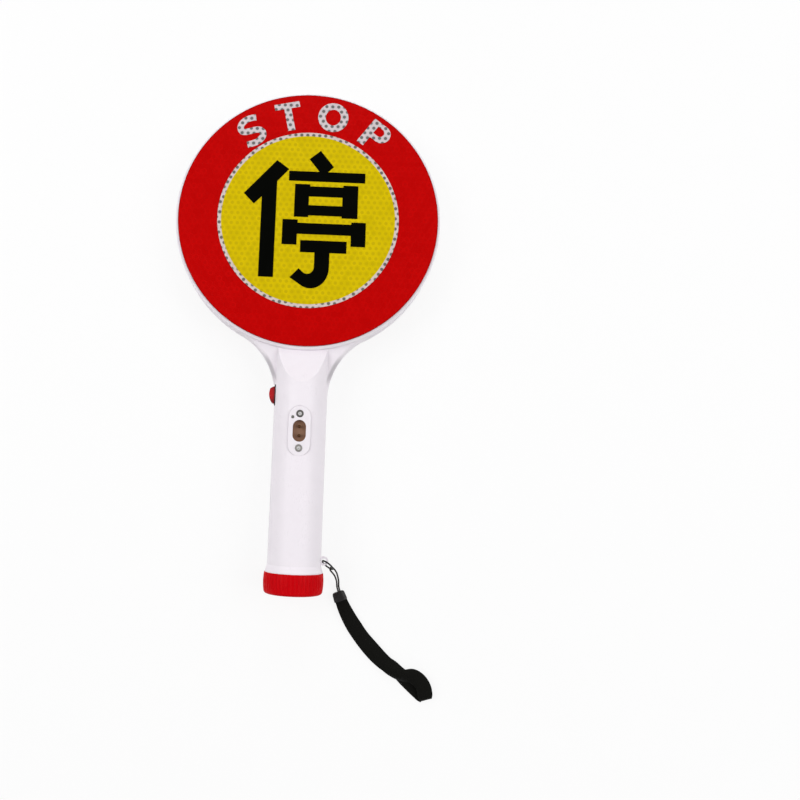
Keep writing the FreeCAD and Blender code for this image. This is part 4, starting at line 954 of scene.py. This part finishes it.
class PADDLE_OT_letters(PaddleStep, bpy.types.Operator):
    """Cuts the four letters and lays them on the red of both faces"""

    bl_idname = "paddle.letters"
    bl_label = "Letters"

    def build(self, colours, sizes):
        height, stroke = sizes.letter_height / MM, sizes.letter_stroke / MM
        thickness = sizes.film_thickness / MM
        for side, turn in SIDES:
            for letter, angle_deg, radius, share in LETTERS:
                angle = math.radians(angle_deg)
                spot = Matrix.Translation((radius * math.sin(angle), HEAD_Y + radius * math.cos(angle),
                                           FACE_TOP + thickness / 2))
                place = LAY @ turn @ spot @ Matrix.Rotation(-angle, 4, "Z")
                loops = letter_loops(letter, height * share, stroke)
                made = filled_film(side + "_letter_" + letter.lower(), loops, thickness, place,
                                   FINISHES["letter_white"])


class PADDLE_OT_character(PaddleStep, bpy.types.Operator):
    """Cuts the character's strokes and lays them on the yellow of both faces"""

    bl_idname = "paddle.character"
    bl_label = "Character"

    def build(self, colours, sizes):
        thickness = sizes.film_thickness / MM
        black = moulded("stroke_black", colours.stroke_black, 0.34, 0.000006, 1500.0, gloss=0.03)
        hook = (*HOOK_TOP, *arc_points(*HOOK_OUTER), *HOOK_TIP, *arc_points(*HOOK_INNER), *HOOK_LEFT)
        loops = (*CHARACTER_STROKES, CHARACTER_HOLE, hook)
        for side, turn in SIDES:
            place = LAY @ turn @ Matrix.Translation((0.0, HEAD_Y, FILM_TOP + thickness / 2))
            filled_film(side + "_strokes", loops, thickness, place, black)


def make_bead():
    """Soft bead that fills the seam round the plate, just below the shell's surface."""
    rings = []
    for side in (1.0, -1.0):
        for x, y in arc_points((0.0, 0.0), (side, side), 0.0, 180.0, 24):
            ring = []
            for reach, drop in BEAD_SECTION:
                spot_x = x * (PLATE_HALF + reach)
                spot_y = y * (PLATE_HALF + reach) + PLATE_Y + side * PLATE_RISE
                level = min(PLATE_TOP, math.sqrt(GRIP_RADIUS ** 2 - spot_x ** 2))
                ring.append((spot_x, spot_y, level - drop))
            rings.append(ring)
    piece_from_bmesh("plate_bead", skinned(rings, closed=True), FINISHES["shell_white"], place=LAY)


def lamp_lens():
    """Clear moulded lens over a grey lamp."""
    made, tree, shader, grain = surfaced("lamp_lens", "Moulded Grain", depth=0.000004)
    toned = mixed(tree, grain["Tone"], linear(96, 96, 92), linear(122, 122, 116))
    feed(tree, shader, {"Base Color": toned, "Roughness": spread(tree, grain["Tone"], 0.10, 0.20),
                        "Coat Weight": 0.8, "Coat Roughness": 0.04})
    return made


class PADDLE_OT_charging(PaddleStep, bpy.types.Operator):
    """Finishes the charging plate, its socket, pins and lamp"""

    bl_idname = "paddle.charging"
    bl_label = "Charging Socket"

    def build(self, colours, sizes):
        white = scaled(colours.shell_white, 0.98)
        dress("charge_plate", moulded("plate_white", white, 0.3, 0.000006, 2400.0, gloss=0.2))
        make_bead()
        dress("charge_socket", moulded("socket_brown", colours.socket_brown, 0.55, 0.00002, 1500.0))
        dress("charge_pins", metal("pin_brass", linear(100, 70, 48), 0.5))
        dress("charge_indicator", lamp_lens())


def shaded_screw_metal(spots):
    """Plated screw heads, bright in the middle, with painted shade darkening the rest of each head, paler on
    the lower screw.
    """
    made = metal("plate_screw_steel", linear(106, 104, 102), 0.45, 1400.0)
    tree, shader, shaded_plating = plain_colour(made)
    near = [off_axis(tree, object_place(tree), x, y) for x, y, z in spots]
    # Painted shade: the dark plating stands in for the counterbore's shadow round each head, and is paler
    # round the lower screw
    bright_middle = falling(tree, maths(tree, "MINIMUM", *near), 0.9 * MM, 0.5 * MM)
    ring = mixed(tree, falling(tree, near[0], 3.0 * MM, 1.0 * MM), shaded_plating, linear(158, 155, 152))
    feed(tree, shader, {"Base Color": mixed(tree, bright_middle, ring, linear(226, 224, 224)),
                        "Metallic": maths(tree, "SUBTRACT", 1.0, times(tree, bright_middle, 0.7))})
    return made


def make_set(name, tree, material, spots, sizes, turn, replaced):
    """One set of like screws, from their tops' points and the sizes of one."""
    data = bpy.data.meshes.new("tops")
    data.from_pydata(spots, [], [])
    holder = linked(name, data)
    modifier = holder.modifiers.new("screws", "NODES")
    modifier.node_group = tree
    values = dict(zip(SCREW_SIZES, sizes), Material=material)
    for item in tree.interface.items_tree:
        if item.item_type == "SOCKET" and item.in_out == "INPUT" and item.name in values:
            modifier[item.identifier] = values[item.name]
    done = piece_from_holder(name, holder, material, LAY @ turn)
    bpy.data.meshes.remove(data)
    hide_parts(replaced)


def screw_tree():
    """Geometry nodes: a domed screw with a cross recess at every point, turned at random."""
    tree = bpy.data.node_groups.new("Recessed Screws", "GeometryNodeTree")
    kinds = {"Geometry": "Geometry", **{label: "Float" for label in SCREW_SIZES}, "Material": "Material"}
    for label, kind in kinds.items():
        tree.interface.new_socket(label, in_out="INPUT", socket_type="NodeSocket" + kind)
    tree.interface.new_socket("Geometry", in_out="OUTPUT", socket_type="NodeSocketGeometry")
    given = tree.nodes.new("NodeGroupInput").outputs
    radius, height, shank_radius, shank_length, width = [given[label] for label in SCREW_SIZES]

    def joined(kind, socket, meshes, **settings):
        made = node(tree, kind, **settings)
        for mesh in meshes:
            tree.links.new(mesh, made.inputs[socket])
        return made.outputs[0]

    def lowered(mesh, depth):
        return node(tree, "GeometryNodeTransform",
                    {"Geometry": mesh, "Translation": combined(tree, Z=times(tree, depth, -1.0))}
                    ).outputs[0]

    head = node(tree, "GeometryNodeMeshCylinder",
                {"Vertices": 40, "Fill Segments": 5, "Radius": radius, "Depth": height},
                fill_type="TRIANGLE_FAN").outputs["Mesh"]
    place = tree.nodes.new("GeometryNodeInputPosition").outputs[0]
    z = node(tree, "ShaderNodeSeparateXYZ", {0: place}).outputs["Z"]
    flat = vectors(tree, "MULTIPLY", place, (1.0, 1.0, 0.0))
    share = maths(tree, "DIVIDE", vectors(tree, "LENGTH", flat), radius)
    dome = times(tree, times(tree, share, share), times(tree, height, -SCREW_DOME))
    drop = times(tree, dome, maths(tree, "GREATER_THAN", z, 0.0))
    domed = node(tree, "GeometryNodeSetPosition", {"Geometry": head, "Offset": combined(tree, Z=drop)})

    narrow = times(tree, width, RECESS_ARM)
    arms = [node(tree, "GeometryNodeMeshCube", {"Size": combined(tree, X=x, Y=y, Z=height)}).outputs["Mesh"]
            for x, y in ((width, narrow), (narrow, width))]
    cross = joined("GeometryNodeMeshBoolean", "Mesh 2", arms, operation="UNION")
    cut = node(tree, "GeometryNodeMeshBoolean",
               {"Mesh 1": lowered(domed.outputs[0], times(tree, height, 0.5)), "Mesh 2": cross},
               operation="DIFFERENCE").outputs["Mesh"]
    shank = node(tree, "GeometryNodeMeshCylinder",
                 {"Vertices": 24, "Radius": shank_radius, "Depth": shank_length}).outputs["Mesh"]
    depth = maths(tree, "ADD", height, times(tree, shank_length, 0.5))
    whole = joined("GeometryNodeJoinGeometry", "Geometry", (cut, lowered(shank, depth)))

    turn = node(tree, "FunctionNodeRandomValue", {0: (0.0, 0.0, 0.0), 1: (0.0, 0.0, math.pi / 2), "Seed": 11},
                data_type="FLOAT_VECTOR").outputs[0]
    placed = node(tree, "GeometryNodeInstanceOnPoints",
                  {"Points": given["Geometry"], "Instance": whole, "Rotation": turn}).outputs[0]
    real = node(tree, "GeometryNodeRealizeInstances", {0: placed}).outputs[0]
    finish = node(tree, "GeometryNodeSetMaterial", {"Geometry": real, "Material": given["Material"]})
    node(tree, "NodeGroupOutput", {0: finish.outputs[0]})
    return tree


class PADDLE_OT_fasteners(PaddleStep, bpy.types.Operator):
    """Makes the screws with their cross recesses, by geometry nodes"""

    bl_idname = "paddle.fasteners"
    bl_label = "Screws"

    def build(self, colours, sizes):
        tree = screw_tree()
        steel = metal("screw_steel", linear(150, 150, 154), 0.30, 1400.0)
        plate_spots = [(0.0, PLATE_Y + side * PLATE_SCREW_RISE, PLATE_TOP) for side in (-1, 1)]
        shell_spots = [(HEAD_SCREW_RADIUS * c, HEAD_Y + HEAD_SCREW_RADIUS * s, HEAD_SCREW_TOP)
                       for c, s in circle(6)]
        shell_spots += [(0.0, y, z) for y, z in GRIP_SCREW_TOPS]
        make_set("plate_fasteners", tree, shaded_screw_metal(plate_spots), plate_spots, PLATE_SCREW, FRONT,
                 "charge_plate_screws")
        make_set("shell_fasteners", tree, steel, shell_spots, SHELL_SCREW, REAR, "shell_screws")


class PADDLE_OT_switch(PaddleStep, bpy.types.Operator):
    """Finishes the rocker switch"""

    bl_idname = "paddle.switch"
    bl_label = "Rocker Switch"

    def build(self, colours, sizes):
        dress("switch_housing", moulded("switch_black", colours.switch_black, 0.46, 0.00002, 1700.0))
        rocker = moulded("rocker_red", colours.rocker_red, 0.22, 0.000004, 1700.0, 0.6)
        tree, shader = rocker.node_tree, rocker.node_tree.nodes["Principled BSDF"]
        # Painted highlight and shade: the rocker is lighter near one spot on its outer face and darker away
        # from it
        away = vectors(tree, "DISTANCE", object_place(tree), tuple(LAY @ Vector(ROCKER_HIGHLIGHT_SPOT)))
        painted_highlight = falling(tree, away, 1.5 * MM, 4.5 * MM)
        feed(tree, shader, {"Base Color": mixed(tree, painted_highlight, scaled(colours.rocker_red, 0.6),
                                                scaled(colours.rocker_red, 1.3))})
        dress("switch_rocker", rocker)
        dress("switch_terminals", metal("blade_brass", linear(196, 164, 92), 0.34))


class PADDLE_OT_cap(PaddleStep, bpy.types.Operator):
    """Finishes the screw cap and cuts its thread and the neck's"""

    bl_idname = "paddle.cap"
    bl_label = "Screw Cap"

    def build(self, colours, sizes):
        red = moulded("cap_red", colours.cap_red, 0.42, 0.00001, 1500.0, gloss=0.05)
        dress("end_cap", red)
        dress("cap_seal", moulded("seal_rubber", linear(38, 38, 40), 0.7, 0.00002, 1200.0))
        dress("cap_contact", metal("cap_contact_nickel", linear(196, 194, 186), 0.3))
        pitch, height, turns = sizes.thread_pitch / MM, sizes.thread_height / MM, sizes.thread_turns
        ridge = helix_ridge(NECK_RADIUS - THREAD_SINK, NECK_RADIUS + height, THREAD_START, pitch, turns)
        piece_from_bmesh("neck_thread", ridge, FINISHES["shell_white"], place=LAY)
        inner = helix_ridge(CAP_BORE + THREAD_SINK, CAP_BORE - height, THREAD_START - pitch / 2, pitch,
                            turns - 0.25)
        piece_from_bmesh("cap_thread", inner, red, "screw_cap", LAY)


class PADDLE_OT_inside(PaddleStep, bpy.types.Operator):
    """Finishes the lamps, cell, boards and leads inside"""

    bl_idname = "paddle.inside"
    bl_label = "Inner Parts"

    def build(self, colours, sizes):
        nickel = metal("strip_nickel", linear(200, 198, 190), 0.28)
        green = moulded("board_green", linear(24, 96, 52), 0.4, 0.00001, 2200.0)
        lead = moulded("lead_red", linear(176, 22, 22), 0.45, 0.000006, 1500.0)
        finishes = {
            "led_board": green, "control_board": green, "cell_plate": nickel, "return_strip": nickel,
            "leds": moulded("lamp_yellow", linear(232, 214, 120), 0.3, 0.000005, 2200.0),
            "battery_cell": moulded("cell_sleeve", linear(34, 92, 168), 0.3, 0.000005, 1500.0, 0.3),
            "control_parts": moulded("chip_black", linear(34, 34, 36), 0.5, 0.00001, 2200.0),
            "led_leads": lead, "switch_leads": lead, "socket_leads": lead, "cell_lead": lead,
        }
        for part_name, finish in finishes.items():
            dress(part_name, finish)


class PADDLE_PT_panel(bpy.types.Panel):
    """Lists the paddle's pieces, sizes and colours"""

    bl_idname = "PADDLE_PT_panel"
    bl_label = "Stop Paddle"
    bl_space_type = "VIEW_3D"
    bl_region_type = "UI"
    bl_category = "Stop Paddle"

    def draw(self, context):
        column = self.layout.column()
        for operator in OPERATORS:
            column.operator(operator.bl_idname)
        for name, kind in GROUPS.items():
            box = self.layout.box()
            for entry in kind.__annotations__:
                box.prop(getattr(context.scene, name), entry)


OPERATORS = (
    PADDLE_OT_stage, PADDLE_OT_cord, PADDLE_OT_webbing, PADDLE_OT_shells, PADDLE_OT_faces, PADDLE_OT_letters,
    PADDLE_OT_character, PADDLE_OT_charging, PADDLE_OT_fasteners, PADDLE_OT_switch, PADDLE_OT_cap,
    PADDLE_OT_inside,
)
GROUPS = {
    "paddle_sizes": PADDLE_PG_sizes, "paddle_colours": PADDLE_PG_colours, "paddle_stage": PADDLE_PG_stage,
}
CLASSES = (*GROUPS.values(), *OPERATORS, PADDLE_PT_panel)


def register():
    for entry in CLASSES:
        bpy.utils.register_class(entry)
    for name, kind in GROUPS.items():
        setattr(bpy.types.Scene, name, PointerProperty(type=kind))


def unregister():
    for name in GROUPS:
        delattr(bpy.types.Scene, name)
    for entry in reversed(CLASSES):
        bpy.utils.unregister_class(entry)


def main():
    register()
    for operator in OPERATORS:
        getattr(bpy.ops.paddle, operator.bl_idname.split(".")[1])()


if __name__ == "__main__":
    main()
